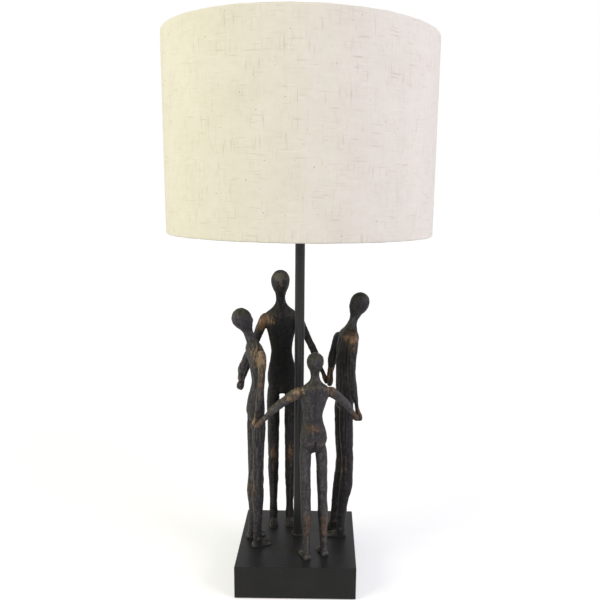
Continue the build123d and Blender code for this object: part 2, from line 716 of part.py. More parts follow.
# ---------------------------------------------------------------- lampholder
def holder_cap():
    """Domed lower cap, threaded on the pole's end."""
    inner = HOLDER_RADIUS - HOLDER_WALL
    flare = CAP_BOTTOM + CAP_NECK_HEIGHT
    outside = turned(
        [
            (0, CAP_BOTTOM),
            (CAP_NECK_RADIUS, CAP_BOTTOM),
            (CAP_NECK_RADIUS, flare),
            (HOLDER_RADIUS * 0.75, flare + 2.5),
            (HOLDER_RADIUS, flare + 6.5),
            (HOLDER_RADIUS, BODY_BOTTOM),
            (0, BODY_BOTTOM),
        ]
    )
    hollow = turned(
        [
            (0, POLE_TOP),
            (POLE_RADIUS + 1.5, POLE_TOP),
            (inner, flare + 7.0),
            (inner, BODY_BOTTOM + 1),
            (0, BODY_BOTTOM + 1),
        ]
    )
    cap = outside - hollow - drum(POLE_RADIUS + POLE_CLEARANCE, 0, POLE_TOP + 0.01)
    grub = CAP_BOTTOM + GRUB_HEIGHT
    return cap - rod((POLE_RADIUS, 0, grub), (CAP_NECK_RADIUS + 1, 0, grub), GRUB_RADIUS + SCREW_CLEARANCE)


def holder_grub_screw():
    grub = CAP_BOTTOM + GRUB_HEIGHT
    return rod((POLE_RADIUS + POLE_CLEARANCE, 0, grub), (CAP_NECK_RADIUS + 0.4, 0, grub), GRUB_RADIUS)


def switch_tunnel(radius):
    reach = SHOULDER_RADIUS + 1
    return rod((-reach, 0, SWITCH_HEIGHT), (reach, 0, SWITCH_HEIGHT), radius)


def holder_body():
    body = drum(HOLDER_RADIUS, BODY_BOTTOM, FITTER_SEAT) + drum(SKIRT_RADIUS, FITTER_SEAT, SKIRT_TOP)
    body += drum(SHOULDER_RADIUS, FITTER_SEAT - SHOULDER_THICKNESS, FITTER_SEAT)
    body -= drum(SKIRT_RADIUS - HOLDER_WALL, BODY_BOTTOM - 1, SKIRT_TOP + 1)
    return body - switch_tunnel(SWITCH_BAR_RADIUS + SWITCH_CLEARANCE)


def holder_insert():
    """Ceramic core: terminals below, the screw shell in its bore above."""
    radius = SKIRT_RADIUS - HOLDER_WALL - INSERT_CLEARANCE
    core = drum(radius, BODY_BOTTOM, SKIRT_TOP - 1)
    core -= drum(SHELL_RADIUS + SHELL_THICKNESS + 0.1, INSERT_FLOOR, SKIRT_TOP)
    return core - switch_tunnel(SWITCH_BAR_RADIUS + SWITCH_CLEARANCE)


def holder_shell():
    return tube(SHELL_RADIUS + SHELL_THICKNESS, SHELL_RADIUS, INSERT_FLOOR, SKIRT_TOP - SHELL_RIM_GAP)


def holder_contact():
    """Centre contact: a flat brass tongue on the core's floor."""
    return slab(TONGUE_LENGTH, TONGUE_WIDTH, INSERT_FLOOR, INSERT_FLOOR + TONGUE_THICKNESS)


def terminal_blocks():
    blocks = []
    for side in (-1, 1):
        x = side * TERMINAL_OFFSET
        blocks.append(slab(TERMINAL_SIDE, TERMINAL_SIDE, BODY_BOTTOM - TERMINAL_HEIGHT, BODY_BOTTOM, x, 0))
    return blocks


def terminal_screws():
    height = BODY_BOTTOM - TERMINAL_HEIGHT / 2
    front = -TERMINAL_SIDE / 2
    screws = []
    for side in (-1, 1):
        x = side * TERMINAL_OFFSET
        screws.append(rod((x, front, height), (x, front - TERMINAL_SCREW_LENGTH, height), TERMINAL_SCREW_RADIUS))
    return screws


def switch_bar():
    """Push-through bar, stored at the left end of its travel, with a knob on each end."""
    middle = -SWITCH_TRAVEL / 2
    half = HOLDER_RADIUS + SWITCH_BAR_REACH
    bar = rod((middle - half, 0, SWITCH_HEIGHT), (middle + half, 0, SWITCH_HEIGHT), SWITCH_BAR_RADIUS)
    for side in (-1, 1):
        tip = middle + side * half
        knob = rod((tip - side * SWITCH_KNOB_LENGTH, 0, SWITCH_HEIGHT), (tip, 0, SWITCH_HEIGHT), SWITCH_KNOB_RADIUS)
        bar += knob
    ends = bar.edges().filter_by(GeomType.CIRCLE).sort_by(Axis.X)
    return fillet([ends[0], ends[-1]], 0.8)


def shade_ring():
    """Threaded ring that clamps the fitter: a flange below, a ribbed grip above."""
    bottom = FITTER_SEAT + FITTER_THICKNESS + 2 * SEAT_CLEARANCE
    grip = SHADE_RING_RADIUS - 3
    ring = drum(SHADE_RING_RADIUS, bottom, bottom + SHADE_RING_LIP) + drum(grip, bottom, bottom + SHADE_RING_HEIGHT)
    for i in range(SHADE_RING_RIBS):
        turn = 2 * math.pi * i / SHADE_RING_RIBS
        x, y = grip * math.cos(turn), grip * math.sin(turn)
        ring += drum(SHADE_RING_RIB_RADIUS, bottom + SHADE_RING_LIP - 0.5, bottom + SHADE_RING_HEIGHT, x, y)
    return ring - drum(SKIRT_RADIUS + SHADE_RING_CLEARANCE, bottom - 1, bottom + SHADE_RING_HEIGHT + 1)


# ---------------------------------------------------------------- bulb
def bulb_glass():
    """Pear-shaped envelope, open at the neck where the stem seals it."""
    neck = BULB_BOTTOM + BULB_CONE_HEIGHT + BULB_CAP_LENGTH
    top = BULB_BOTTOM + BULB_LENGTH
    centre = top - BULB_RADIUS

    def outline(radius, neck_radius):
        tilt = math.radians(-32)
        low = (radius * math.cos(tilt), 0, centre + radius * math.sin(tilt))
        crown = ThreePointArc(low, (radius * math.cos(0.6), 0, centre + radius * math.sin(0.6)), (0, 0, centre + radius))
        side = Bezier(
            (neck_radius, 0, neck), (neck_radius, 0, neck + 14), (low[0] - 6, 0, low[2] - 10), low
        )
        sides = [side, crown, Line((0, 0, centre + radius), (0, 0, neck)), Line((0, 0, neck), (neck_radius, 0, neck))]
        return revolve(make_face(Wire(sides)), Axis.Z)

    outer = outline(BULB_RADIUS, BULB_NECK_RADIUS)
    inner = outline(BULB_RADIUS - BULB_GLASS_WALL, BULB_NECK_RADIUS - BULB_GLASS_WALL)
    return outer - inner


def bulb_cap():
    """Screw cap with rolled threads, over an insulating cone."""
    bottom = BULB_BOTTOM + BULB_CONE_HEIGHT
    top = bottom + BULB_CAP_LENGTH - 0.1
    crest, root = BULB_CAP_RADIUS, BULB_CAP_RADIUS - BULB_THREAD_DEPTH
    outline = [(0, bottom), (root - 1.0, bottom), (root, bottom + 1.0)]
    for i in range(BULB_THREADS):
        middle = bottom + 1.0 + (i + 0.5) * BULB_THREAD_PITCH
        outline += [(crest, middle - 0.5), (crest, middle + 0.5), (root, middle + BULB_THREAD_PITCH / 2)]
    outline += [(root, top), (0, top)]
    return turned(outline)


def bulb_insulator():
    bottom = BULB_BOTTOM + BULB_TIP_HEIGHT
    top = BULB_BOTTOM + BULB_CONE_HEIGHT
    return turned([(0, bottom), (BULB_TIP_RADIUS + 1, bottom), (BULB_CAP_RADIUS - 3, top), (0, top)])


def bulb_contact():
    return turned(
        [
            (0, BULB_BOTTOM),
            (BULB_TIP_RADIUS - 1.2, BULB_BOTTOM),
            (BULB_TIP_RADIUS, BULB_BOTTOM + BULB_TIP_HEIGHT),
            (0, BULB_BOTTOM + BULB_TIP_HEIGHT),
        ]
    )


def filament_ends(index):
    """A light stick's foot and tip: it leans in from a wide circle to a narrow one."""
    turn = 2 * math.pi * index / FILAMENTS
    x, y = math.cos(turn), math.sin(turn)
    foot = BULB_BOTTOM + BULB_CONE_HEIGHT + BULB_CAP_LENGTH + FILAMENT_RISE
    return (
        (FILAMENT_CIRCLE * x, FILAMENT_CIRCLE * y, foot),
        (FILAMENT_TOP_CIRCLE * x, FILAMENT_TOP_CIRCLE * y, foot + FILAMENT_LENGTH),
    )


def bulb_stem():
    """Glass stem that closes the envelope, with a wire to each end of each light stick."""
    bottom = BULB_BOTTOM + BULB_CONE_HEIGHT + BULB_CAP_LENGTH
    flare = BULB_NECK_RADIUS - BULB_GLASS_WALL - 0.2
    stem = turned(
        [
            (0, bottom),
            (flare, bottom),
            (flare, bottom + 2),
            (STEM_RADIUS, bottom + 10),
            (STEM_RADIUS * 0.5, bottom + STEM_LENGTH + 4),
            (0, bottom + STEM_LENGTH + 4),
        ]
    )
    for i in range(FILAMENTS):
        for (x, y, z), way in zip(filament_ends(i), (-1, 1)):
            height = z + way * (STEM_WIRE_RADIUS + STEM_WIRE_GAP + FILAMENT_RADIUS * 0.2)
            stem += rod((0, 0, height), (x, y, height), STEM_WIRE_RADIUS)
    return stem


def bulb_filaments():
    return [rod(*filament_ends(i), FILAMENT_RADIUS) for i in range(FILAMENTS)]


# ---------------------------------------------------------------- shade
def spider_arm_ends(index):
    """An arm's ends: on the fitter ring, and on the lower rim wire."""
    turn = math.radians(SPIDER_TURN + 360.0 * index / SPIDER_ARMS)
    x, y = math.cos(turn), math.sin(turn)
    inner = FITTER_RADIUS - 1.5
    height = FITTER_SEAT + SEAT_CLEARANCE + FITTER_THICKNESS / 2
    return (inner * x, inner * y, height), (RIM_WIRE_CIRCLE * x, RIM_WIRE_CIRCLE * y, LOWER_WIRE)


def rim_wire(height, gap=0.0):
    return Pos(0, 0, height) * Torus(RIM_WIRE_CIRCLE, RIM_WIRE_RADIUS + gap)


def shade_spider():
    """Fitter ring and its arms, which end against the lower rim wire."""
    seat = FITTER_SEAT + SEAT_CLEARANCE
    top = seat + FITTER_THICKNESS
    spider = tube(FITTER_RADIUS, FITTER_BORE_RADIUS, seat, top)
    for i in range(SPIDER_ARMS):
        spider += rod(*spider_arm_ends(i), SPIDER_WIRE_RADIUS) - drum(SHADE_RADIUS, top, SHADE_TOP)
    spider -= drum(SHOULDER_RADIUS + SEAT_CLEARANCE, SHADE_BOTTOM, seat)
    spider -= drum(FITTER_BORE_RADIUS, SHADE_BOTTOM, SHADE_TOP)
    return spider - rim_wire(LOWER_WIRE, WELD_GAP)


def shade_bottom_wire():
    return rim_wire(LOWER_WIRE)


def shade_top_wire():
    return rim_wire(UPPER_WIRE)


def shade_fabric():
    """Linen wall, rolled over the rim wires and tucked inside."""
    outer, inner = HEM_RADIUS, HEM_RADIUS - FABRIC_THICKNESS
    middle = RIM_WIRE_CIRCLE

    def hem(height, way):
        """The rolled edge: its outer line from the wall to the tuck, and its inner line back."""
        tuck = height - way * HEM_TAIL
        over = ThreePointArc((middle + outer, 0, height), (middle, 0, height + way * outer), (middle - outer, 0, height))
        down = Line((middle - outer, 0, height), (middle - outer, 0, tuck))
        end = Line((middle - outer, 0, tuck), (middle - inner, 0, tuck))
        up = Line((middle - inner, 0, tuck), (middle - inner, 0, height))
        back = ThreePointArc((middle - inner, 0, height), (middle, 0, height + way * inner), (middle + inner, 0, height))
        return [over, down, end, up, back]

    walls = [
        Line((middle + outer, 0, LOWER_WIRE), (middle + outer, 0, UPPER_WIRE)),
        Line((middle + inner, 0, LOWER_WIRE), (middle + inner, 0, UPPER_WIRE)),
    ]
    fabric = revolve(make_face(Wire(hem(UPPER_WIRE, 1) + hem(LOWER_WIRE, -1) + walls)), Axis.Z)
    for i in range(SPIDER_ARMS):
        inner_end, outer_end = spider_arm_ends(i)
        fabric -= rod(inner_end, outer_end, SPIDER_WIRE_RADIUS + NOTCH_CLEARANCE)
    return fabric


def shade_liner():
    outer = SHADE_RADIUS - FABRIC_THICKNESS - LINER_GAP
    bottom = LOWER_WIRE + RIM_WIRE_RADIUS + LINER_SETBACK
    top = UPPER_WIRE - RIM_WIRE_RADIUS - LINER_SETBACK
    return tube(outer, outer - LINER_THICKNESS, bottom, top)


# ---------------------------------------------------------------- all nodes
NODES = {
    "base_block": base_block,
    "felt_pad": felt_pad,
    "bottom_cover": bottom_cover,
    "cover_screws": cover_screws,
    "ballast_plate": ballast_plate,
    "ballast_screws": ballast_screws,
    "figure_screws": figure_screws,
    "cord_gland": cord_gland,
    "cord_clamp": cord_clamp,
    "clamp_screws": clamp_screws,
    "pole_tube": pole_tube,
    "pole_collar": pole_collar,
    "pole_washer": pole_washer,
    "pole_nut": pole_nut,
    "inner_lead": inner_lead,
    "lead_core_brown": lambda: lead_core(1),
    "lead_core_blue": lambda: lead_core(-1),
    "holder_cap": holder_cap,
    "holder_grub_screw": holder_grub_screw,
    "holder_body": holder_body,
    "holder_insert": holder_insert,
    "holder_shell": holder_shell,
    "holder_contact": holder_contact,
    "terminal_blocks": terminal_blocks,
    "terminal_screws": terminal_screws,
    "switch_bar": switch_bar,
    "shade_ring": shade_ring,
    "bulb_glass": bulb_glass,
    "bulb_cap": bulb_cap,
    "bulb_insulator": bulb_insulator,
    "bulb_contact": bulb_contact,
    "bulb_stem": bulb_stem,
    "bulb_filaments": bulb_filaments,
    "shade_spider": shade_spider,
    "shade_bottom_wire": shade_bottom_wire,
    "shade_top_wire": shade_top_wire,
    "shade_fabric": shade_fabric,
    "shade_liner": shade_liner,
    "figure_tall": lambda: figure("figure_tall"),
    "figure_left": lambda: figure("figure_left"),
    "figure_right": lambda: figure("figure_right"),
    "figure_child": lambda: figure("figure_child"),
}

for node, make in NODES.items():
    made = make()
    export_step(Compound(children=made) if isinstance(made, list) else made, f"parts/{node}.step")
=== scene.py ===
"""Looks of a figural table lamp: four cast figures hand in hand round a black pole, on a black block, under a
linen drum shade. Lengths are in metres, and names that end in _MM are in millimetres."""

import math

import bmesh
import bpy
import numpy as np
from mathutils import Matrix, Vector

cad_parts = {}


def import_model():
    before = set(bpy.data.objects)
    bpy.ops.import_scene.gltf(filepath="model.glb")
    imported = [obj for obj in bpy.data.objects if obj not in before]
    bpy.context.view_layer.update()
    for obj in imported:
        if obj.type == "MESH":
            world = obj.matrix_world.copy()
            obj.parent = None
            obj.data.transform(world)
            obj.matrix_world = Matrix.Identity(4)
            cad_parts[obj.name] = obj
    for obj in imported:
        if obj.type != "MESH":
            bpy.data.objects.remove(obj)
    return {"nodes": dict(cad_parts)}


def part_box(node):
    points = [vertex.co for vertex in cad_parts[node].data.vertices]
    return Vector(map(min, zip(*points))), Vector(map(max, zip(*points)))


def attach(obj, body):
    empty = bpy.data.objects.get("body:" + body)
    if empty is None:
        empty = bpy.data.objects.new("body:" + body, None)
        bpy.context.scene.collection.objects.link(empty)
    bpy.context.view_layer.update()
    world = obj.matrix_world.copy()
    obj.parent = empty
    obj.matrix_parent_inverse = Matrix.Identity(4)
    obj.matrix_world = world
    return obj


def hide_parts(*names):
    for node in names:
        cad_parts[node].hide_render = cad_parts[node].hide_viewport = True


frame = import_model()
nodes = frame["nodes"]
scene = bpy.context.scene
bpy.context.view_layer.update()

MM = 0.001
WHITE = (1.0, 1.0, 1.0, 1.0)
FINISHES = {}


def add(name, data):
    """A new object in the scene."""
    made = bpy.data.objects.new(name, data)
    scene.collection.objects.link(made)
    return made


# ---------------------------------------------------------------- camera
EYE = Vector((0.0294, -0.7708, 0.4652))
LOOK = Vector((0.00228, 0.98158, -0.19102))
RIGHT = Vector((0.99989, 0.00055, 0.01477))

camera = add("camera", bpy.data.cameras.new("camera"))
up = RIGHT.cross(LOOK).normalized()
right = LOOK.cross(up).normalized()
camera.matrix_world = Matrix.Translation(EYE) @ Matrix((right, up, -LOOK.normalized())).transposed().to_4x4()
camera.data.sensor_width = 36.0
camera.data.lens = 40.007
camera.data.shift_x = -0.0435
camera.data.shift_y = 0.0315
camera.data.clip_start = 0.01
camera.data.clip_end = 50.0
scene.camera = camera


# ---------------------------------------------------------------- materials
class Tree:
    """A node tree in the making, of a material or a world."""

    def __init__(self, owner):
        owner.use_nodes = True
        self.tree = owner.node_tree

    def node(self, kind, inputs=(), **settings):
        """A shader node: inputs are linked if they are sockets, and set if they are values."""
        made = self.tree.nodes.new("ShaderNode" + kind)
        for key, value in settings.items():
            setattr(made, key, value)
        for key, value in dict(inputs).items():
            if isinstance(value, bpy.types.NodeSocket):
                self.tree.links.new(value, made.inputs[key])
            else:
                made.inputs[key].default_value = value
        return made

    def sum(self, a, b, how="ADD"):
        return self.node("Math", {0: a, 1: b}, operation=how).outputs[0]

    def product(self, a, b):
        return self.sum(a, b, "MULTIPLY")

    def most(self, a, b):
        return self.sum(a, b, "MAXIMUM")


class Paint(Tree):
    """A node material in the making, patterned in the object's own coordinates and kept in FINISHES."""

    def __init__(self, name, **sockets):
        FINISHES[name] = bpy.data.materials.new(name)
        super().__init__(FINISHES[name])
        self.shader = self.tree.nodes["Principled BSDF"]
        self.place = self.tree.nodes.new("ShaderNodeTexCoord").outputs["Object"]
        self.below = {}  # the bump that the next one lies on
        for socket, value in sockets.items():
            self.shader.inputs[socket.replace("_", " ")].default_value = value

    def noise(self, size_mm, detail=3.0, rough=0.55, stretch=(1.0, 1.0, 1.0), source=None, distortion=0.0):
        """Noise from 0 to 1 whose blobs are about size_mm across, longer along an axis with a small stretch."""
        at = self.node("Mapping", {"Vector": source or self.place, "Scale": stretch}).outputs["Vector"]
        return self.node(
            "TexNoise",
            {"Vector": at, "Scale": 1 / MM / size_mm, "Detail": detail, "Roughness": rough, "Distortion": distortion},
        ).outputs["Fac"]

    def ramp(self, value, *stops):
        """Colour by value: each stop is a position and a linear colour, or a grey level."""
        made = self.node("ValToRGB", {"Fac": value})
        marks = made.color_ramp.elements
        while len(marks) < len(stops):
            marks.new(1.0)
        for mark, (position, shade) in zip(marks, stops):
            mark.position = position
            mark.color = (*shade, 1.0) if isinstance(shade, tuple) else (shade, shade, shade, 1.0)
        return made.outputs["Color"]

    def level(self, value, low, high, to_low=0.0, to_high=1.0):
        """Carries the span low to high of a value to to_low to to_high, clamped."""
        return self.node(
            "MapRange",
            {"Value": value, "From Min": low, "From Max": high, "To Min": to_low, "To Max": to_high},
            interpolation_type="SMOOTHSTEP",
        ).outputs["Result"]

    def total(self, *terms):
        """Adds up values times their weights."""
        whole = 0.0
        for value, weight in terms:
            whole = self.node("Math", {0: value, 1: weight, 2: whole}, operation="MULTIPLY_ADD").outputs[0]
        return whole

    def mix(self, share, a, b, how="MIX"):
        a, b = ((*shade, 1.0) if isinstance(shade, tuple) else shade for shade in (a, b))
        return self.node("Mix", {0: share, 6: a, 7: b}, data_type="RGBA", blend_type=how).outputs[2]

    def attribute(self, name):
        return self.node("Attribute", attribute_name=name).outputs["Fac"]

    def give(self, socket, value):
        self.tree.links.new(value, self.shader.inputs[socket])

    def bump(self, value, depth_mm, strength=1.0):
        """Raises the surface by up to depth_mm; bumps add up."""
        inputs = {"Height": value, "Distance": depth_mm * MM, "Strength": strength, **self.below}
        self.below = {"Normal": self.node("Bump", inputs).outputs["Normal"]}
        self.give("Normal", self.below["Normal"])


def coated(name, mottle, colours, grain, gloss, bump, stops=(0.3, 0.7), **sockets):
    """A finish with a soft mottle between two colours, and a fine grain that also makes its gloss uneven. Mottle
    and grain are what noise() takes, gloss the least and the most roughness, bump the grain's depth and strength."""
    paint = Paint(name, **sockets)
    cloud, fine = paint.noise(*mottle), paint.noise(*grain)
    paint.give("Base Color", paint.ramp(cloud, *zip(stops, colours)))
    paint.give("Roughness", paint.level(fine, 0.3, 0.7, *gloss))
    paint.bump(fine, *bump)


def speckled(name, dark, light, size_mm, rough, depth_mm, **sockets):
    """Plastic, rubber, paint or porcelain: an even colour and a fine grain."""
    sizes = (size_mm, 4, 0.6), (dark, light), (size_mm / 6, 2, 0.5)
    coated(name, *sizes, (rough - 0.04, rough + 0.04), (depth_mm, 0.6), (0.32, 0.68), **sockets)


def brushed(name, dark, light, rough, stretch):
    """Bright metal with fine lines along one axis."""
    sizes = (7, 3, 0.5), (dark, light), (0.35, 3, 0.6, stretch)
    coated(name, *sizes, (rough - 0.07, rough + 0.08), (0.01, 0.5), Metallic=1)


def black_lacquer():
    """Matt black paint on wood: a faint mottle, fine dust in the coat, edges paler by wear and a painted highlight."""
    paint = Paint("black_lacquer", Specular_IOR_Level=0.17)
    cloud = paint.noise(26, 3, 0.5)
    grain = paint.noise(1.2, 2, 0.6, (0.12, 1, 1))
    dust = paint.noise(0.45, 2, 0.5)
    ground = paint.ramp(cloud, (0.3, (0.0120, 0.0116, 0.0116)), (0.7, (0.0165, 0.0161, 0.0163)))
    bevel = paint.node("Bevel", {"Radius": 1 * MM}, samples=6).outputs["Normal"]
    flat = paint.node("NewGeometry").outputs["Normal"]
    turn = paint.node("VectorMath", {0: bevel, 1: flat}, operation="DOT_PRODUCT").outputs["Value"]
    # The edges are painted paler: a painted highlight along them, broken up by the grain like rubbed wear.
    rubbed_and_highlit_edge = paint.product(paint.level(turn, 0.9, 0.995, 1, 0), paint.level(grain, 0.35, 0.65))
    paint.give("Base Color", paint.mix(rubbed_and_highlit_edge, ground, (0.040, 0.038, 0.037)))
    paint.give("Roughness", paint.level(dust, 0.3, 0.7, 0.34, 0.46))
    paint.bump(grain, 0.015, 0.5)
    paint.bump(dust, 0.012, 0.5)


def felt():
    """Black felt: tufts under crossing fibres."""
    paint = Paint("felt", Sheen_Weight=0.35, Sheen_Roughness=0.6, Specular_IOR_Level=0.2)
    tuft = paint.noise(1.6, 4, 0.65)
    fibre = paint.noise(0.5, 3, 0.6, (0.25, 1, 1), distortion=1.5)
    cross = paint.noise(0.5, 3, 0.6, (1, 0.25, 1), distortion=1.5)
    mat = paint.most(fibre, cross)
    paint.give("Base Color", paint.ramp(mat, (0.35, (0.012, 0.012, 0.013)), (0.75, (0.05, 0.049, 0.05))))
    paint.give("Roughness", paint.level(tuft, 0.3, 0.7, 0.88, 1))
    paint.bump(tuft, 0.12, 0.6)
    paint.bump(mat, 0.08, 0.8)


def zinc():
    """Zinc plating: dull spangles of two greys."""
    paint = Paint("zinc_steel", Metallic=1)
    spangle = paint.node("TexVoronoi", {"Vector": paint.place, "Scale": 1 / MM / 1.5}).outputs["Distance"]
    haze = paint.noise(0.5, 3, 0.6)
    paint.give("Base Color", paint.ramp(spangle, (0.1, (0.52, 0.53, 0.54)), (0.8, (0.66, 0.66, 0.65))))
    paint.give("Roughness", paint.level(haze, 0.3, 0.7, 0.26, 0.42))
    paint.bump(haze, 0.008, 0.5)


def iron():
    """Rough cast iron under a thin grey primer, rusty in its pits."""
    paint = Paint("iron", Metallic=0.4)
    sand = paint.noise(1.4, 5, 0.65)
    rust = paint.noise(9, 4, 0.6)
    primer = (0.35, (0.06, 0.058, 0.056)), (0.6, (0.085, 0.08, 0.075))
    paint.give("Base Color", paint.ramp(rust, *primer, (0.72, (0.13, 0.06, 0.03))))
    paint.give("Roughness", paint.level(sand, 0.3, 0.7, 0.65, 0.85))
    paint.bump(sand, 0.2, 0.7)


def linen():
    """Natural linen in plain weave. Its map runs in metres round the drum and up it, so threads and slubs keep
    their size. A few thick threads each way are a shade darker, and some carry a fleck of bark."""
    paint = Paint("linen", Sheen_Weight=0.12, Sheen_Roughness=0.5, Specular_IOR_Level=0.25)
    cloth = paint.node("UVMap", uv_map="cloth").outputs["UV"]

    def thread(across, pitch_mm):
        """Rounded threads of one direction: 1 on a thread's crown, 0 between two."""
        drift = paint.noise(9, 2, 0.5, source=cloth)
        split = paint.node("SeparateXYZ", {"Vector": cloth}).outputs[across]
        phase = paint.sum(paint.product(split, 2 * math.pi / MM / pitch_mm), paint.product(drift, 5))
        wave = paint.node("Math", {0: phase}, operation="SINE").outputs[0]
        return paint.level(wave, -1, 1)

    def runs(size_mm, rough, thin_weft, thin_warp, low, high):
        """Long thin stretches along the threads of both directions: 1 on them, 0 off them."""
        weft = paint.noise(size_mm, 1.5, rough, (thin_weft, 1, 1), cloth)
        warp = paint.noise(size_mm, 1.5, rough, (1, thin_warp, 1), cloth)
        return paint.most(paint.level(weft, low, high), paint.level(warp, low, high))

    warp, weft = thread(0, 0.62), thread(1, 0.7)
    over = paint.noise(0.7, 0, 0.5, source=cloth)
    weave = paint.mix(paint.level(over, 0.42, 0.58), warp, weft)
    # Slubs: thick stretches of one thread, 8 to 25 mm long and 1 to 2 mm thick, more of them in some places.
    patch = paint.noise(21, 2, 0.5, source=cloth)
    slub = paint.product(runs(1.75, 0.45, 0.09, 0.08, 0.57, 0.78), paint.level(patch, 0.38, 0.6, 0.15, 1))
    pale_run = runs(2.4, 0.5, 0.07, 0.07, 0.6, 0.74)
    knot = paint.level(paint.noise(2, 1, 0.5, (0.6, 0.8, 1), cloth), 0.745, 0.80)
    broad, small = paint.noise(38, 3, 0.5, source=cloth), paint.noise(7, 3, 0.6, source=cloth)
    cloud = paint.total((broad, 0.55), (small, 0.45))
    ground = paint.ramp(cloud, (0.34, (0.772, 0.734, 0.640)), (0.66, (0.832, 0.796, 0.712)))
    pale = paint.mix(paint.product(pale_run, 0.45), ground, (0.86, 0.835, 0.77))
    threads = paint.mix(paint.level(weave, 0, 1, 0.20, 0), pale, (0.66, 0.60, 0.49))
    dyed = paint.mix(paint.product(slub, 0.50), threads, (0.56, 0.46, 0.36))
    paint.give("Base Color", paint.mix(paint.product(knot, 0.75), dyed, (0.27, 0.21, 0.15)))
    paint.give("Roughness", paint.level(weave, 0, 1, 0.95, 0.82))
    paint.bump(weave, 0.10, 0.55)
    paint.bump(slub, 0.22, 0.7)


def bronze_patina():
    """Dark antique bronze paint on a casting. The mesh's marks say how pale the grey bloom is (tone, which is partly
    painted light and shade), where it is olive rather than violet, what stands proud, and where copper and gold were
    rubbed on by hand."""
    paint = Paint("bronze_patina", Specular_IOR_Level=0.17)
    tone, olive, rub, gold, proud = (paint.attribute(name) for name in ("tone", "olive", "rub", "gold", "proud"))
    cloud = paint.noise(15, 2, 0.5)
    blotch = paint.noise(6, 4, 0.62)
    patch = paint.noise(3.4, 4, 0.62, (1, 1, 0.55))
    pit = paint.noise(1.3, 4, 0.62)
    dash = paint.noise(1.5, 3, 0.6, (1, 1, 0.22))
    crumb = paint.noise(0.55, 2, 0.5)
    # Weights of the noises add up to 1 and they lie about one half, so 0.5 goes off again.
    # Its tone part is partly painted light and shade.
    bloom_and_painted_light = paint.total((tone, 1), (blotch, 0.42), (proud, 0.48), (pit, 0.1), (rub, -0.12))
    greys = (0, 0.0034), (0.2, 0.0062), (0.4, 0.0138), (0.6, 0.0315), (0.8, 0.0640), (1, 0.1250)
    grey = paint.ramp(paint.sum(bloom_and_painted_light, -0.5), *greys)
    # Upward faces and some broad blotches turn olive, a little paler than the violet grey.
    olive_share = paint.level(paint.total((olive, 0.9), (cloud, 0.8)), 0.42, 0.95)
    hue = paint.mix(olive_share, (1.00, 0.94, 1.01), (1.09, 1.02, 0.82))
    ground = paint.mix(1, grey, hue, "MULTIPLY")
    # Rubbed metal: broken up by the casting's dashes and pits, strongest on what stands proud, in a brown wash.
    grit = paint.level(paint.total((patch, 0.5), (dash, 0.3), (pit, 0.2)), 0.36, 0.64)
    wash = paint.level(paint.total((rub, 1), (blotch, 0.5)), 0.36, 0.85, 0, 0.62)
    browned = paint.mix(wash, ground, paint.ramp(pit, (0.35, (0.036, 0.022, 0.014)), (0.65, (0.098, 0.068, 0.046))))
    shown = paint.level(paint.total((rub, 1), (grit, -0.85), (proud, 0.35)), 0.04, 0.54)
    copper = paint.ramp(dash, (0.35, (0.105, 0.056, 0.032)), (0.65, (0.185, 0.108, 0.064)))
    gilt = paint.ramp(pit, (0.35, (0.150, 0.104, 0.062)), (0.7, (0.275, 0.205, 0.135)))
    bright = paint.level(paint.total((gold, 1), (dash, 0.8)), 0.62, 1.15)
    paint.give("Base Color", paint.mix(shown, browned, paint.mix(bright, copper, gilt)))
    paint.give("Metallic", paint.level(shown, 0, 1, 0.05, 0.35))
    paint.give("Roughness", paint.total((paint.level(crumb, 0.3, 0.7, 0.46, 0.62), 1), (shown, -0.1)))
    paint.bump(pit, 0.22, 0.55)
    paint.bump(crumb, 0.07, 0.5)
    paint.bump(dash, 0.12, 0.4)


for finish in (black_lacquer, felt, zinc, iron, linen, bronze_patina):
    finish()
# Satin black powder coat on steel, with its fine orange peel. Faint vertical streaks in its colour are a painted
# reflection.
pole_blacks = (0.0150, 0.0147, 0.0147), (0.0200, 0.0197, 0.0197)
pole_reflection_streaks = (3, 3, 0.55, (1, 1, 0.06))
coated("black_pole", pole_reflection_streaks, pole_blacks, (0.9, 2, 0.5), (0.3, 0.42), (0.02, 0.5), Specular_IOR_Level=0.27)
# White glass, coated inside: milky, with a clear shine on its outer face.
milk = (0.74, 0.74, 0.725), (0.80, 0.80, 0.79)
shine = {"Coat_Weight": 0.6, "Coat_Roughness": 0.04, "Subsurface_Weight": 0}
coated("opal_glass", (9, 3, 0.5), milk, (0.6, 2, 0.5), (0.16, 0.28), (0.004, 0.4), **shine)
seeds = (2.5, 3, 0.5)
clears = (0.94, 0.96, 0.95), (0.98, 0.99, 0.985)
coated("clear_glass", seeds, clears, seeds, (0.02, 0.06), (0.02, 0.4), Transmission_Weight=1, IOR=1.5)
# White enamel on wire, a little chalky.
enamels = (0.76, 0.76, 0.745), (0.82, 0.82, 0.81)
coated("white_wire", (12, 3, 0.5), enamels, (0.8, 2, 0.5), (0.32, 0.45), (0.015, 0.5))
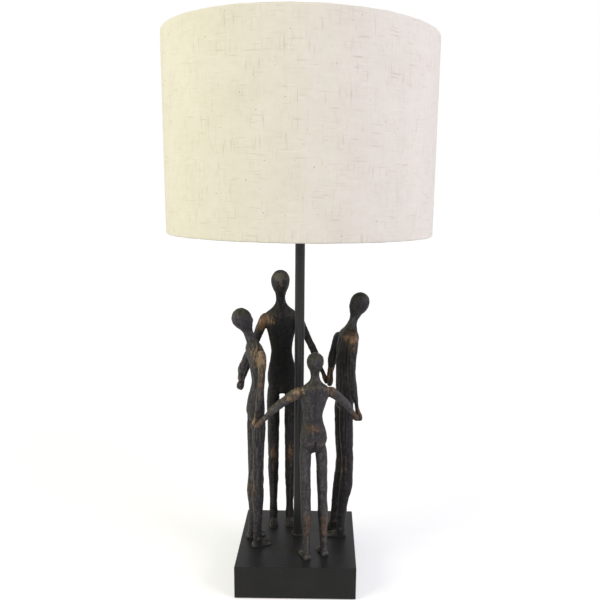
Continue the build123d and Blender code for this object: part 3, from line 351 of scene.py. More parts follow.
# White plastic laminate behind the linen, with a faint fine emboss.
laminates = (0.79, 0.785, 0.765), (0.83, 0.825, 0.81)
coated("liner", (30, 3, 0.5), laminates, (0.5, 2, 0.5), (0.5, 0.62), (0.03, 0.4), Specular_IOR_Level=0.4)
brushed("nickel", (0.60, 0.58, 0.545), (0.70, 0.68, 0.65), 0.24, (1, 1, 0.1))
brushed("brass", (0.62, 0.44, 0.20), (0.74, 0.55, 0.29), 0.27, (0.1, 1, 1))
speckled("cover_sheet", (0.030, 0.029, 0.028), (0.046, 0.045, 0.043), 5, 0.6, 0.03)
speckled("black_rubber", (0.012, 0.012, 0.012), (0.022, 0.022, 0.021), 2, 0.68, 0.03)
speckled("holder_plastic", (0.70, 0.69, 0.665), (0.745, 0.735, 0.71), 6, 0.36, 0.012)
speckled("switch_plastic", (0.66, 0.65, 0.62), (0.71, 0.70, 0.67), 4, 0.3, 0.01)
speckled("lead_sheath", (0.014, 0.014, 0.014), (0.024, 0.024, 0.023), 3, 0.5, 0.02)
speckled("core_brown", (0.105, 0.045, 0.022), (0.135, 0.060, 0.030), 2, 0.42, 0.01)
speckled("core_blue", (0.030, 0.105, 0.330), (0.042, 0.135, 0.400), 2, 0.42, 0.01)
speckled("porcelain", (0.73, 0.72, 0.69), (0.79, 0.785, 0.765), 5, 0.22, 0.012, Coat_Weight=0.4)
speckled("dark_glass", (0.012, 0.010, 0.014), (0.022, 0.020, 0.024), 3, 0.16, 0.01, Coat_Weight=0.5)
speckled("phosphor", (0.72, 0.50, 0.10), (0.80, 0.60, 0.18), 0.8, 0.55, 0.03)
for node in nodes.values():
    for holder in node.material_slots:
        holder.material = FINISHES[holder.material.name.split(".")[0]]


# ---------------------------------------------------------------- helpers
def read_mesh(mesh):
    """A mesh's points, in millimetres, and its point normals."""
    points = np.empty(len(mesh.vertices) * 3)
    mesh.vertices.foreach_get("co", points)
    normals = np.empty(len(mesh.vertices) * 3, np.float32)
    mesh.vertices.foreach_get("normal", normals)
    return points.reshape(-1, 3) / MM, normals.reshape(-1, 3).astype(float)


def write_mesh(mesh, points):
    mesh.vertices.foreach_set("co", (points * MM).ravel())
    mesh.update()


def smooth_step(value, low, high):
    share = np.clip((value - low) / (high - low), 0, 1)
    return share * share * (3 - 2 * share)


def value_noise(points, seed):
    """Smooth noise from -1 to 1 over points in three columns, in blobs about 1 across."""
    cell = np.floor(points).astype(np.int64)
    share = points - cell
    share = share * share * (3 - 2 * share)

    def corner(dx, dy, dz):
        x, y, z = cell[:, 0] + dx, cell[:, 1] + dy, cell[:, 2] + dz
        mixed = (x * 374761393 + y * 668265263 + z * 2147483647 + seed * 974634777) & 0xFFFFFFFF
        mixed = ((mixed ^ (mixed >> 13)) * 1274126177) & 0xFFFFFFFF
        return ((mixed ^ (mixed >> 16)) & 0xFFFF) / 32767.5 - 1.0

    def blend(axis, a, b):
        return a + (b - a) * share[:, axis]

    def side(dz):
        return blend(1, *(blend(0, corner(0, dy, dz), corner(1, dy, dz)) for dy in (0, 1)))

    return blend(2, side(0), side(1))


def to_segment(points, start, end):
    """Distance from each point to a segment, and the share of the way along it."""
    start, way = np.array(start, float), np.array(end, float) - np.array(start, float)
    share = np.clip((points - start) @ way / (way @ way), 0, 1)
    return np.linalg.norm(points - start - share[:, None] * way, axis=1), share


def bell(value, centre, reach):
    """1 at a centre, fading out over a reach."""
    return np.exp(-(((value - centre) / reach) ** 2))


def hill(points, centre, reach):
    """The same of points, with a reach along each axis."""
    return np.exp(-(((points - np.array(centre)) / np.array(reach)) ** 2).sum(1))


def crease(points, start, end, width):
    """1 on a segment, fading out over a width."""
    return bell(to_segment(points, start, end)[0], 0.0, width)


# ---------------------------------------------------------------- figures
# How each casting stands, as the frame has it: millimetres and degrees, and heights of a common build of 300.
BUILD_MM = 300.0
BASE_TOP_MM = 40.0
SPINE_STATIONS = (150, 176, 207, 240, 262.5, 287, 300)
SHOULDER_HEIGHT, SHOULDER_OFFSET = 245, 18.6
HIP_HEIGHT, HIP_OFFSET = 168, 9.6
KNEE_HEIGHT, KNEE_REACH = 86, 45
PALM_FROM_WRIST, PALM_OFFSET = 5, 2.2
CUT_END_MM = 15  # from a grip up to where the casting's clearance for the other hand ends
EASE_REACH_MM, EASE_SHARE, EASE_ROUNDS = 4.5, 0.6, 60  # how the step there is smoothed
PRESS_MM = 0.6  # how far each palm is pressed towards the other
VOXEL = 0.68 * MM
SIGN = {"left": 1, "right": -1}
ARM_STEPS = 25
ARM_ENDS, ARM_FULL = 8.0, 5.6  # how far from an arm's line a point is off the arm, and how near it is wholly on it
FINGER_REACH, FINGER_SHARE = 11, 1.12  # from the wrist on, and its share of the way down the arm
SEED = 11

GRIP_TALL_LEFT = (-73.5, 18, 228)
GRIP_TALL_RIGHT = (33.5, 28, 234)
GRIP_CHILD_LEFT = (-48.5, -39, 197)
GRIP_CHILD_RIGHT = (69.5, -20, 203)

TRUNK, LEGS, ARM_LEFT, ARM_RIGHT = "trunk", "legs", "left", "right"

# Each casting's stance. lean, sway: how far the spine is ahead and to the left at its stations. grips: where each hand
# meets another figure's, and how the arm bows on its way there. ridges: how deep bark-like ones run down the body.
# tone: how pale its bloom is, from 0, black, to 1, partly painted light and shade. fuller: by how much a forearm is
# fuller than its loft. forms: ones worked into its trunk or its legs alone.
STANCES = {
    "figure_tall": dict(
        place=(-22.9, 33.5), facing=-84, height=329, stance=10.5, ridges=0.12, tone=0.4,
        arms={"left": 0.95, "right": 1.05}, fuller={"right": 0.9},
        lean=(0, 1, 1.5, 0.5, 0, 1, 1), sway=(0, 0.5, -0.5, -1, -1.5, -2, -2.5),
        grips={"right": (GRIP_TALL_LEFT, (-2, -1, 0)), "left": (GRIP_TALL_RIGHT, (-2, 1.5, 0))},
        forms={LEGS: [((-5.5, 0, 125), (4.5, 8, 28), 1.3)]},
    ),
    "figure_left": dict(
        place=(-52, -18.5), facing=21.5, height=291, girth=0.96, stance=11.3, twist=5, ridges=0.5, tone=0.6,
        fuller={"left": 1.1},
        lean=(2.2, 2.9, 3.9, 4.4, -2.7, -13.7, -18),
        grips={"right": (GRIP_CHILD_LEFT, (2.5, -2, 0)), "left": (GRIP_TALL_LEFT, (-1.8, 3, 0))},
        forms={
            TRUNK: [((0, -11, 286), (9, 7, 9), 1.4), ((0, 11, 286), (9, 7, 8), 0.6), ((0, -6, 264), (7, 5, 8), 1.3)],
            LEGS: [((0, 7, 110), (5, 5, 36), -0.8)],
        },
    ),
    "figure_right": dict(
        place=(48.5, 7), facing=180, height=306.5, stance=9, stride=-8, twist=22, ridges=0.5, tone=0.45,
        arms={"left": 1.05, "right": 1.35}, knee_back=5,
        lean=(-6, -6, -4, -7, -13, -22.3, -25.5),
        grips={"left": (GRIP_CHILD_RIGHT, (4.5, 1, 0)), "right": (GRIP_TALL_RIGHT, (2.5, -4, 0))},
        forms={TRUNK: [((0, 6, 268), (6, 5, 6), -0.9)]},
    ),
    "figure_child": dict(
        place=(22.3, -50), facing=115, height=246, girth=1.14, stance=11.3, twist=-14, ridges=0.1, tone=0.66,
        arms={"left": 1.2, "right": 1.2},
        lean=(4, 4, 4, 3, 2, 3, 3), sway=(2.5, 2.5, 3, 2.5, 2, 1.5, 1),
        grips={"left": (GRIP_CHILD_LEFT, (-2, 1, 4)), "right": (GRIP_CHILD_RIGHT, (-2, -1, 2.5))},
        forms={LEGS: [((-4.5, 0, 120), (4, 7, 30), 0.7)]},
    ),
}


def both(*shape):
    """A form or a line, and its mirror image. All of it but the last two are places."""
    *places, reach, rise = shape
    return shape, (*((-x, y, z) for x, y, z in places), reach, rise)


# Forms worked into every trunk: where, as across, ahead and up from the spine, their reach, and how far they
# stand out.
TRUNK_FORMS = [
    *both((7.5, 9, 237), (6.5, 4, 7.5), 0.7),
    *both((9, 5, 250), (7, 4, 3), 0.35),
    *both((12, 6, 184), (3, 4, 6), 0.3),
    ((0, 9, 202.5), (1.4, 4, 1.5), -0.4),
    ((0, 9, 165), (3.6, 4, 5), 0.8),
    ((0, 0, 157), (2.4, 9, 4.5), -1.5),
    *both((9, -9, 238), (5, 4, 7), 0.9),
    *both((5, -10, 186), (2.2, 3.5, 2.4), -0.35),
    *both((7.2, -10, 171.5), (6.2, 6, 7.5), 1.2),
    *both((6.5, -10, 159.5), (5, 4.5, 2.4), -0.3),
    *both((3.5, 11, 288), (2.2, 3.5, 2.2), -0.45),
    ((0, 12, 284.5), (1.3, 4, 3.4), 1),
    ((0, 11, 278), (2.8, 4, 2.4), 0.6),
]
# Lines worked in: start, end, width, how far they stand out.
TRUNK_LINES = [
    ((0, -10, 186), (0, -8, 248), 2, -0.6),
    ((0, 9.5, 226), (0, 9.5, 246), 1.6, -0.4),
    ((0, -13, 158), (0, -12, 174), 1.5, -2.6),
    *both((4.6, 1, 274), (1.2, 5.2, 255.5), 1, 0.8),
    *both((3, -5, 273), (6, -5, 256), 1.3, 0.4),
]
# The same on every leg: outwards, ahead and up from the leg's own line.
LEG_FORMS = [
    ((0, 8, 128), (5, 4, 20), 0.4),
    ((0, 7, 87), (3.4, 3.5, 5), 0.9),
    *both((3.8, 6, 94), (2, 3, 3.4), -0.35),
    ((0, -7.5, 64), (4.6, 4, 11), 1),
    ((0, -8, 52), (0.9, 4, 9), -0.35),
    ((4.6, 0, 10.5), (1.8, 2, 2), 0.8),
    ((-4.6, 0, 11.5), (1.8, 2, 2), 0.8),
    ((0, -6, 137), (5, 4, 16), 0.4),
]
LEG_LINES = [
    ((0.6, 7, 74), (0, 5, 20), 1, 0.4),
    ((0, -5, 9), (0, -5.5, 34), 1.3, 0.5),
    *both((4.8, -3, 120), (4.4, -5, 90), 1.2, -0.3),
]
# Swellings round every arm: share of the way down, reach, and how far they stand out.
ARM_FORMS = [(0.5, 0.045, 0.25), (0.63, 0.09, 0.35), (0.96, 0.04, -0.25)]
# Where the grooves between toes and between fingers lie, counted from the middle, and how wide they are.
TOE_GROOVES = (-2.7, -0.9, 0.8, 2.4)
FINGER_GROOVES = (-1.95, 0, 1.95)
GROOVE_WIDTH = 0.42
# Lumps of the skin: their size and how far they stand out.
SKIN_LUMPS = [(11, 0.3), (4.6, 0.2), (2.3, 0.13), (np.array([1.7, 1.7, 5]), 0.09)]

# Places where a casting's bloom is paler or darker, partly as the patina's own tone and partly as painted light and
# shade: what the place is counted on, its centre and reach there, and by how much.
TONES = {
    "figure_tall": [
        # The tall figure's forehead is painted paler, a painted highlight; its trunk below the chest is darker.
        (TRUNK, (0, 8, 208), (26, 16, 34), -0.3),
        (TRUNK, (-1, 9, 293), (8, 9, 7), 0.78),
        (TRUNK, (0, 6, 250), (22, 9, 6), 0.24),
        (LEGS, (0, 6, 98), (6, 8, 18), 0.12),
        (LEGS, (0, 4, 150), (8, 9, 12), -0.14),
        (LEGS, (0, 8, 4), (8, 12, 8), 0.1),
    ],
    "figure_left": [
        # A paler strip down one leg: a painted highlight along its edge.
        (LEGS, (-5, -3, 84), (3.6, 6, 66), 0.34),
        (TRUNK, (0, -9, 250), (12, 7, 28), 0.1),
        (LEGS, (-2, 0, 60), (4, 8, 60), -0.12),
        (LEGS, (0, 2, 10), (8, 12, 22), -0.1),
    ],
    "figure_right": [
        (TRUNK, (0, 0, 226), (30, 30, 14), -0.14),
        (TRUNK, (0, 0, 266), (10, 12, 12), 0.2),
        (TRUNK, (6, -6, 185), (9, 7, 16), 0.16),
        (TRUNK, (0, 0, 292), (12, 14, 10), 0.1),
        (LEGS, (0, 0, 40), (10, 12, 40), -0.08),
    ],
    "figure_child": [
        (TRUNK, (0, -10, 222), (16, 10, 22), 0.08),
        (TRUNK, (1, -12, 166), (3.5, 6, 8), -0.35),
        (TRUNK, (0, 0, 288), (12, 14, 14), -0.2),
    ],
}
# Rubbed places: how strong, and how golden.
RUBS = {
    "figure_tall": [
        (TRUNK, (-19, 4, 243), (7, 10, 8), 0.66, 0.45),
        (TRUNK, (-10, 8, 244), (5, 6, 5), 0.48, 0.75),
        (TRUNK, (1.5, 12, 284.5), (3, 6, 4.6), 0.66, 0.45),
        (ARM_RIGHT, 0.1, 0.14, 0.34, 0.3),
        (LEGS, (0, 7, 88), (5.5, 6, 15), 0.44, 0.1),
        (TRUNK, (18, 5, 247), (5, 8, 5), 0.35, 0.3),
        (ARM_LEFT, 1, 0.12, 0.35, 0.2),
    ],
    "figure_left": [
        (ARM_RIGHT, 0.1, 0.2, 0.4, 0.62),
        (TRUNK, (-14, -5, 241), (10, 11, 15), 0.66, 0.75),
        (TRUNK, (-12, 8, 222), (8, 8, 26), 0.36, 0.5),
        (ARM_RIGHT, 0.45, 0.2, 0.26, 0.3),
        (ARM_RIGHT, 0.98, 0.12, 0.62, 0.6),
        (LEGS, (0, -7, 74), (5, 5, 24), 0.44, 0.05),
        (ARM_LEFT, 0.85, 0.2, 0.3, 0.2),
    ],
    "figure_right": [
        (TRUNK, (13, 2, 249.5), (13, 20, 7), 0.56, 0.3),
        (ARM_LEFT, 0.04, 0.14, 0.3, 0.3),
        (LEGS, (0, 6, 88), (7, 7, 14), 0.34, 0.6),
        (ARM_LEFT, 1, 0.12, 0.42, 0.25),
        (LEGS, (0, -7, 112), (5, 5, 40), 0.22, 0.3),
        (ARM_RIGHT, 0.95, 0.14, 0.5, 0.1),
    ],
    "figure_child": [
        (TRUNK, (16, -4, 248), (8, 8, 6), 0.44, 0.75),
        (TRUNK, (-15, -4, 249), (7, 7, 6), 0.46, 0.6),
        (ARM_LEFT, 0.16, 0.2, 0.4, 0.7),
        (ARM_RIGHT, 0.08, 0.12, 0.3, 0.4),
        (TRUNK, (4, -12, 194.5), (16, 9, 6.5), 0.6, 0.4),
        (TRUNK, (-9, -12, 176), (9, 9, 8), 0.34, 0.2),
        (LEGS, (0, -6, 50), (6, 6, 26), 0.48, 0.1),
        (ARM_LEFT, 1, 0.12, 0.4, 0.35),
        (ARM_RIGHT, 1, 0.12, 0.36, 0.2),
    ],
}


def level_unit(degrees):
    return np.array([math.cos(math.radians(degrees)), math.sin(math.radians(degrees)), 0])


class Stance:
    """Places one figure's landmarks, in millimetres in the lamp's frame."""

    girth, stride, twist, knee_back = 1.0, 0.0, 0.0, 0.0
    arms, fuller = {"left": 1.0, "right": 1.0}, {}
    sway = (0.0,) * len(SPINE_STATIONS)

    def __init__(self, name):
        self.name = name
        self.__dict__.update(STANCES[name])
        self.scale = self.height / BUILD_MM
        self.breadth = self.scale * self.girth
        self.forward = level_unit(self.facing)
        self.left = level_unit(self.facing + 90)
        self.origin = np.array([*self.place, BASE_TOP_MM])

    def spine(self, up):
        """The spine at heights of the common build."""
        ahead = np.multiply.outer(np.interp(up, SPINE_STATIONS, self.lean), self.forward)
        aside = np.multiply.outer(np.interp(up, SPINE_STATIONS, self.sway), self.left)
        rise = np.multiply.outer(np.asarray(up) * self.scale, (0.0, 0.0, 1.0))
        return self.origin + ahead + aside + rise

    def lefts(self, up):
        """The figure's left at heights of the common build, turned by the twist."""
        turn = np.radians(self.facing + 90 + self.twist * np.minimum(np.asarray(up) / SHOULDER_HEIGHT, 1))
        return np.stack([np.cos(turn), np.sin(turn), np.zeros_like(turn)], -1)

    def beside(self, points, up, line, sign=1):
        """Points as across (outwards from a leg, to the left of a trunk), ahead and up from a line."""
        left = self.lefts(up)
        ahead = np.stack([left[:, 1], -left[:, 0], left[:, 2]], 1)
        off = points - line
        return np.stack([sign * (off * left).sum(1) / self.breadth, (off * ahead).sum(1) / self.breadth, up], 1)

    def on_trunk(self, points):
        """Points counted from the spine, in the common build."""
        up = (points[:, 2] - BASE_TOP_MM) / self.scale
        return self.beside(points, up, self.spine(up))

    def on_leg(self, points, side):
        """Points counted from a leg's line, in the common build."""
        sign = SIGN[side]
        up = (points[:, 2] - BASE_TOP_MM) / self.scale
        ankle = self.origin + self.forward * sign * self.stride / 2 + self.left * sign * self.stance
        hip = self.spine(HIP_HEIGHT) + self.lefts(HIP_HEIGHT) * sign * HIP_OFFSET * self.breadth
        back = self.knee_back * bell(up, KNEE_HEIGHT, KNEE_REACH)
        line = ankle + np.multiply.outer(up / HIP_HEIGHT, hip - ankle) - np.multiply.outer(back, self.forward)
        return self.beside(points, up, line, sign)

    def shoulder(self, side):
        out = self.lefts(SHOULDER_HEIGHT) * SIGN[side] * SHOULDER_OFFSET * self.breadth
        return self.spine(SHOULDER_HEIGHT) + out

    def grip_normal(self, side):
        """Square to the face that two hands share, towards this figure."""
        grip = self.grips[side][0]
        for other, facts in STANCES.items():
            for other_side, (spot, _) in facts["grips"].items():
                if other != self.name and spot == grip:
                    way = self.shoulder(side) - Stance(other).shoulder(other_side)
                    way[2] = 0.0
                    return way / np.linalg.norm(way)

    def arm(self, side):
        """An arm's line from shoulder to wrist, and its hand: wrist, reach, palm's normal, girth."""
        girth = self.breadth * self.arms[side]
        grip, bow = self.grips[side]
        normal = self.grip_normal(side)
        shoulder = self.shoulder(side)
        palm = np.array(grip) + normal * PALM_OFFSET * girth
        way = (palm - shoulder) / np.linalg.norm(palm - shoulder)
        wrist = palm - way * PALM_FROM_WRIST * girth
        bend = self.forward * bow[0] + self.left * bow[1] + np.array([0.0, 0.0, bow[2]])
        shares = np.linspace(0, 1, ARM_STEPS)
        line = shoulder + np.multiply.outer(shares, wrist - shoulder)
        line = line + np.multiply.outer(4 * shares * (1 - shares), bend)
        return line, wrist, way, normal, girth

    def along_arm(self, points, side):
        """Each point's share of the way down an arm, hand included (1 at the wrist), and how near it is: 1 on it."""
        line, wrist, way, _, girth = self.arm(side)
        line = np.vstack([line, wrist + way * FINGER_REACH * girth])
        shares = np.append(np.linspace(0, 1, ARM_STEPS), FINGER_SHARE)
        nearest = np.full(len(points), np.inf)
        share = np.zeros(len(points))
        for i in range(len(line) - 1):
            away, part = to_segment(points, line[i], line[i + 1])
            closer = away < nearest
            nearest[closer] = away[closer]
            share[closer] = (shares[i] + part * (shares[i + 1] - shares[i]))[closer]
        return share, smooth_step(nearest, ARM_ENDS * girth, ARM_FULL * girth)


def formed(points, forms, lines):
    """How far points stand out by the forms and the lines worked in."""
    out = sum(hill(points, *form) * rise for *form, rise in forms)
    return out + sum(crease(points, *line) * rise for *line, rise in lines)


def worked(stance, points):
    """How far each point of a casting moves out, before its surface texture, and where the point is on the body."""
    trunk = stance.on_trunk(points)
    arms = {side: stance.along_arm(points, side) for side in SIGN}
    on_arm = np.maximum(*[near * smooth_step(share, 0, 0.1) for share, near in arms.values()])
    out = formed(trunk, TRUNK_FORMS + stance.forms.get(TRUNK, []), TRUNK_LINES) * (1 - on_arm)
    left_leg, right_leg = (stance.on_leg(points, side) for side in SIGN)
    nearer = np.abs(left_leg[:, 0]) < np.abs(right_leg[:, 0])
    leg = np.where(nearer[:, None], left_leg, right_leg)
    below = smooth_step(leg[:, 2], 158, 142) * (1 - on_arm)
    out += formed(leg, LEG_FORMS + stance.forms.get(LEGS, []), LEG_LINES) * below
    # Toes: grooves between five of them, on the top and the tip of each foot.
    toe = smooth_step(leg[:, 1], 9.5, 12.5) * smooth_step(leg[:, 2], 9, 6) * smooth_step(leg[:, 2], 0.2, 1.2)
    for across in TOE_GROOVES:
        out -= bell(leg[:, 0], across, GROOVE_WIDTH) * 0.85 * toe
    out += bell(leg[:, 1], 14, 2) * 0.35 * toe
    # Hands: grooves between four fingers on the side away from the other hand, a thumb, and knuckles.
    for side, (share, near) in arms.items():
        _, wrist, way, normal, girth = stance.arm(side)
        across = np.cross(normal, way)
        off = (points - wrist) / girth
        down, wide, thick = off @ way, off @ across, off @ normal
        hand = smooth_step(down, 3.2, 5.5) * smooth_step(down, 15, 12.5) * near * smooth_step(thick, 0.3, 1.4)
        for spot in FINGER_GROOVES:
            out -= bell(wide, spot, GROOVE_WIDTH) * 0.8 * hand
        out += bell(down, 4.3, 1.2) * smooth_step(thick, 0.3, 1.6) * near * 0.3
        out += crease(np.stack([down, wide, thick], 1), (0.5, 3, 1), (7, 2.6, 2.6), 1.1) * 0.8 * near
        out += stance.fuller.get(side, 0) * smooth_step(share, 0.35, 0.6) * smooth_step(share, 1, 0.9) * near
        for centre, reach, rise in ARM_FORMS:
            out += bell(share, centre, reach) * rise * near
    return out * stance.scale, trunk, leg, arms, on_arm


def textured(stance, points, trunk):
    """The casting's uneven skin: slow lumps, tool marks and, on some, ridges down the body."""
    seed = SEED + 17 * list(STANCES).index(stance.name)
    out = sum(rise * value_noise(points / size, seed + i) for i, (size, rise) in enumerate(SKIN_LUMPS))
    groove = value_noise(points / np.array([3.4, 3.4, 26]), seed + 4)
    fine = value_noise(points / np.array([1.9, 1.9, 15]), seed + 5)
    body = smooth_step(trunk[:, 2], 262, 248) * smooth_step(trunk[:, 2], 40, 110)
    depth = stance.ridges * body
    return out + (depth * (1.3 * np.abs(groove) - 0.55) + depth * 0.45 * fine)


class Net:
    """A mesh's edges, to average over each point's neighbours."""

    def __init__(self, mesh):
        ends = np.empty(len(mesh.edges) * 2, np.int32)
        mesh.edges.foreach_get("vertices", ends)
        self.a, self.b = ends.reshape(-1, 2).T
        self.size = len(mesh.vertices)
        self.count = np.maximum(np.bincount(ends, minlength=self.size), 1)

    def spread(self, values):
        """Each point's mean over its neighbours."""
        if values.ndim > 1:
            return np.stack([self.spread(column) for column in values.T], 1)
        total = np.bincount(self.a, values[self.b], self.size) + np.bincount(self.b, values[self.a], self.size)
        return total / self.count


def proud_of(net, points, normals):
    """0 in hollows, 0.5 on flat parts, 1 on ridges: each point against its neighbours, a few steps out."""
    eased = points
    for _ in range(5):
        eased = net.spread(eased)
    stands = ((points - eased) * normals).sum(1)
    for _ in range(2):
        stands = 0.5 * stands + 0.5 * net.spread(stands)
    return 0.5 + 0.5 * np.tanh((stands - np.median(stands)) / 0.10)


def joined(stance, net, points):
    """Smooths the forearms where the clearance cut at each grip ends, and presses the palms together."""
    for side in SIGN:
        share, near = stance.along_arm(points, side)
        grip = stance.grips[side][0]
        normal = stance.grip_normal(side)
        soft = near * bell(points[:, 2], grip[2] + CUT_END_MM, EASE_REACH_MM) * smooth_step(share, 0.55, 0.7)
        for _ in range(EASE_ROUNDS):
            points = points + (net.spread(points) - points) * EASE_SHARE * soft[:, None]
        points = points - np.outer(smooth_step(share, 0.84, 0.98) * near * PRESS_MM, normal)
    return points


def marked(stance, trunk, leg, arms, on_arm):
    """Each point's marks for the paint: how pale its bloom is, partly as painted light and shade, how much it is
    rubbed, and how golden that is.
    """

    def near(where, centre, reach):
        if where == TRUNK:
            return hill(trunk, centre, reach)
        if where == LEGS:
            return hill(leg, centre, reach) * smooth_step(leg[:, 2], 160, 140) * (1 - on_arm)
        share, on = arms[where]
        return bell(share, centre, reach) * on

    tone = np.full(len(trunk), stance.tone)
    for where, centre, reach, rise in TONES[stance.name]:
        tone += near(where, centre, reach) * rise
    rub = np.zeros(len(trunk))
    gold = np.zeros(len(trunk))
    for where, centre, reach, strength, gilt in RUBS[stance.name]:
        share = near(where, centre, reach) * strength
        gold += share * gilt
        rub += share
    return {"tone": tone, "rub": np.clip(rub, 0, 0.8), "gold": gold / np.maximum(rub, 1e-3)}


def casting(name):
    """One figure, remeshed from its node and sculpted."""
    made = add(name.replace("figure", "casting"), nodes[name].data.copy())
    remesh = made.modifiers.new("remesh", "REMESH")
    remesh.mode = "VOXEL"
    remesh.voxel_size = VOXEL
    remesh.use_smooth_shade = True
    ease = made.modifiers.new("ease", "SMOOTH")
    ease.factor = 0.5
    ease.iterations = 3
    shaped = bpy.data.meshes.new_from_object(made.evaluated_get(bpy.context.evaluated_depsgraph_get()))
    made.modifiers.clear()
    made.data = shaped
    stance = Stance(name)
    net = Net(shaped)
    write_mesh(shaped, joined(stance, net, read_mesh(shaped)[0]))
    points, normals = read_mesh(shaped)
    out, trunk, leg, arms, on_arm = worked(stance, points)
    write_mesh(shaped, points + normals * out[:, None])
    points, normals = read_mesh(shaped)
    # The soles stay flat on the block, and the skin's texture fades out just over them.
    off_floor = smooth_step(points[:, 2], BASE_TOP_MM + 0.1, BASE_TOP_MM + 1.2)
    points += normals * (textured(stance, points, trunk) * off_floor)[:, None]
    points[:, 2] = np.maximum(points[:, 2], BASE_TOP_MM)
    marks = marked(stance, trunk, leg, arms, on_arm)
    marks["proud"] = proud_of(net, points, normals)
    # Upward faces lean to olive in the paint, a little paler than the violet grey.
    marks["olive"] = smooth_step(normals[:, 2], 0.0, 0.8)
    write_mesh(shaped, points)
    for label, values in marks.items():
        shaped.attributes.new(label, "FLOAT", "POINT").data.foreach_set("value", values.astype(np.float32))
    shaped.shade_smooth()
    shaped.materials.clear()
    shaped.materials.append(FINISHES["bronze_patina"])
    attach(made, "base")
    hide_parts(name)


for figure in STANCES:
    casting(figure)


# ---------------------------------------------------------------- shade
SHADE_RADIUS_MM = 150
LOWER_WIRE_MM, UPPER_WIRE_MM = 418, 622
HEM_MM = 3  # from a rim wire's middle to the outside of the cloth rolled round it
CLOTH_MM = 0.8
TUCK_MM = 3
ARM_TURNS = (90, 210, 330)
NOTCH_MM = 1.8  # half the width of the slit that lets a wire arm through the lower hem
SEAM_TURN = 75  # the lapped seam, at the back
SEAM_WIDTH_MM = 9
SEAM_LAP_MM = 0.7
WALL_WANDER_MM, HEM_WANDER_MM = 0.012, 0.06
PRESSED = 4.5  # how square a roll is pressed on its outer side, where 2 is round
TUCK_ROWS, ROLL_ROWS, WALL_ROWS, SLIT_ROWS = 3, 17, 60, 9
TURN_STEPS = 432


def hem_path(slit):
    """The cloth's middle line from the lower tuck over the wall to the upper tuck, as radius, height and the way
    out. A slit leaves out the lower tuck and the inner side of its roll. The rolls are pressed squarer outside."""
    middle = SHADE_RADIUS_MM - HEM_MM
    roll = HEM_MM - CLOTH_MM / 2
    path = []

    def rolled(height, turn):
        across, up = math.cos(turn), math.sin(turn)
        power = PRESSED if across > 0 else 2.0
        size = roll * (abs(across) ** power + abs(up) ** power) ** (-1 / power)
        path.append((middle + size * across, height + size * up, across, up))

    for share in np.linspace(1, 0, TUCK_ROWS + 1)[:-1]:
        path.append((middle - roll, LOWER_WIRE_MM + TUCK_MM * share, -1.0, 0.0))
    for turn in np.radians(np.linspace(180, 360, ROLL_ROWS)):
        rolled(LOWER_WIRE_MM, turn)
    for height in np.linspace(LOWER_WIRE_MM, UPPER_WIRE_MM, WALL_ROWS)[1:-1]:
        path.append((middle + roll, height, 1.0, 0.0))
    for turn in np.radians(np.linspace(0, 180, ROLL_ROWS)):
        rolled(UPPER_WIRE_MM, turn)
    for share in np.linspace(0, 1, TUCK_ROWS + 1)[1:]:
        path.append((middle - roll, UPPER_WIRE_MM - TUCK_MM * share, -1.0, 0.0))
    path = np.array(path)
    if slit:
        path[:SLIT_ROWS] = path[SLIT_ROWS]
    return path


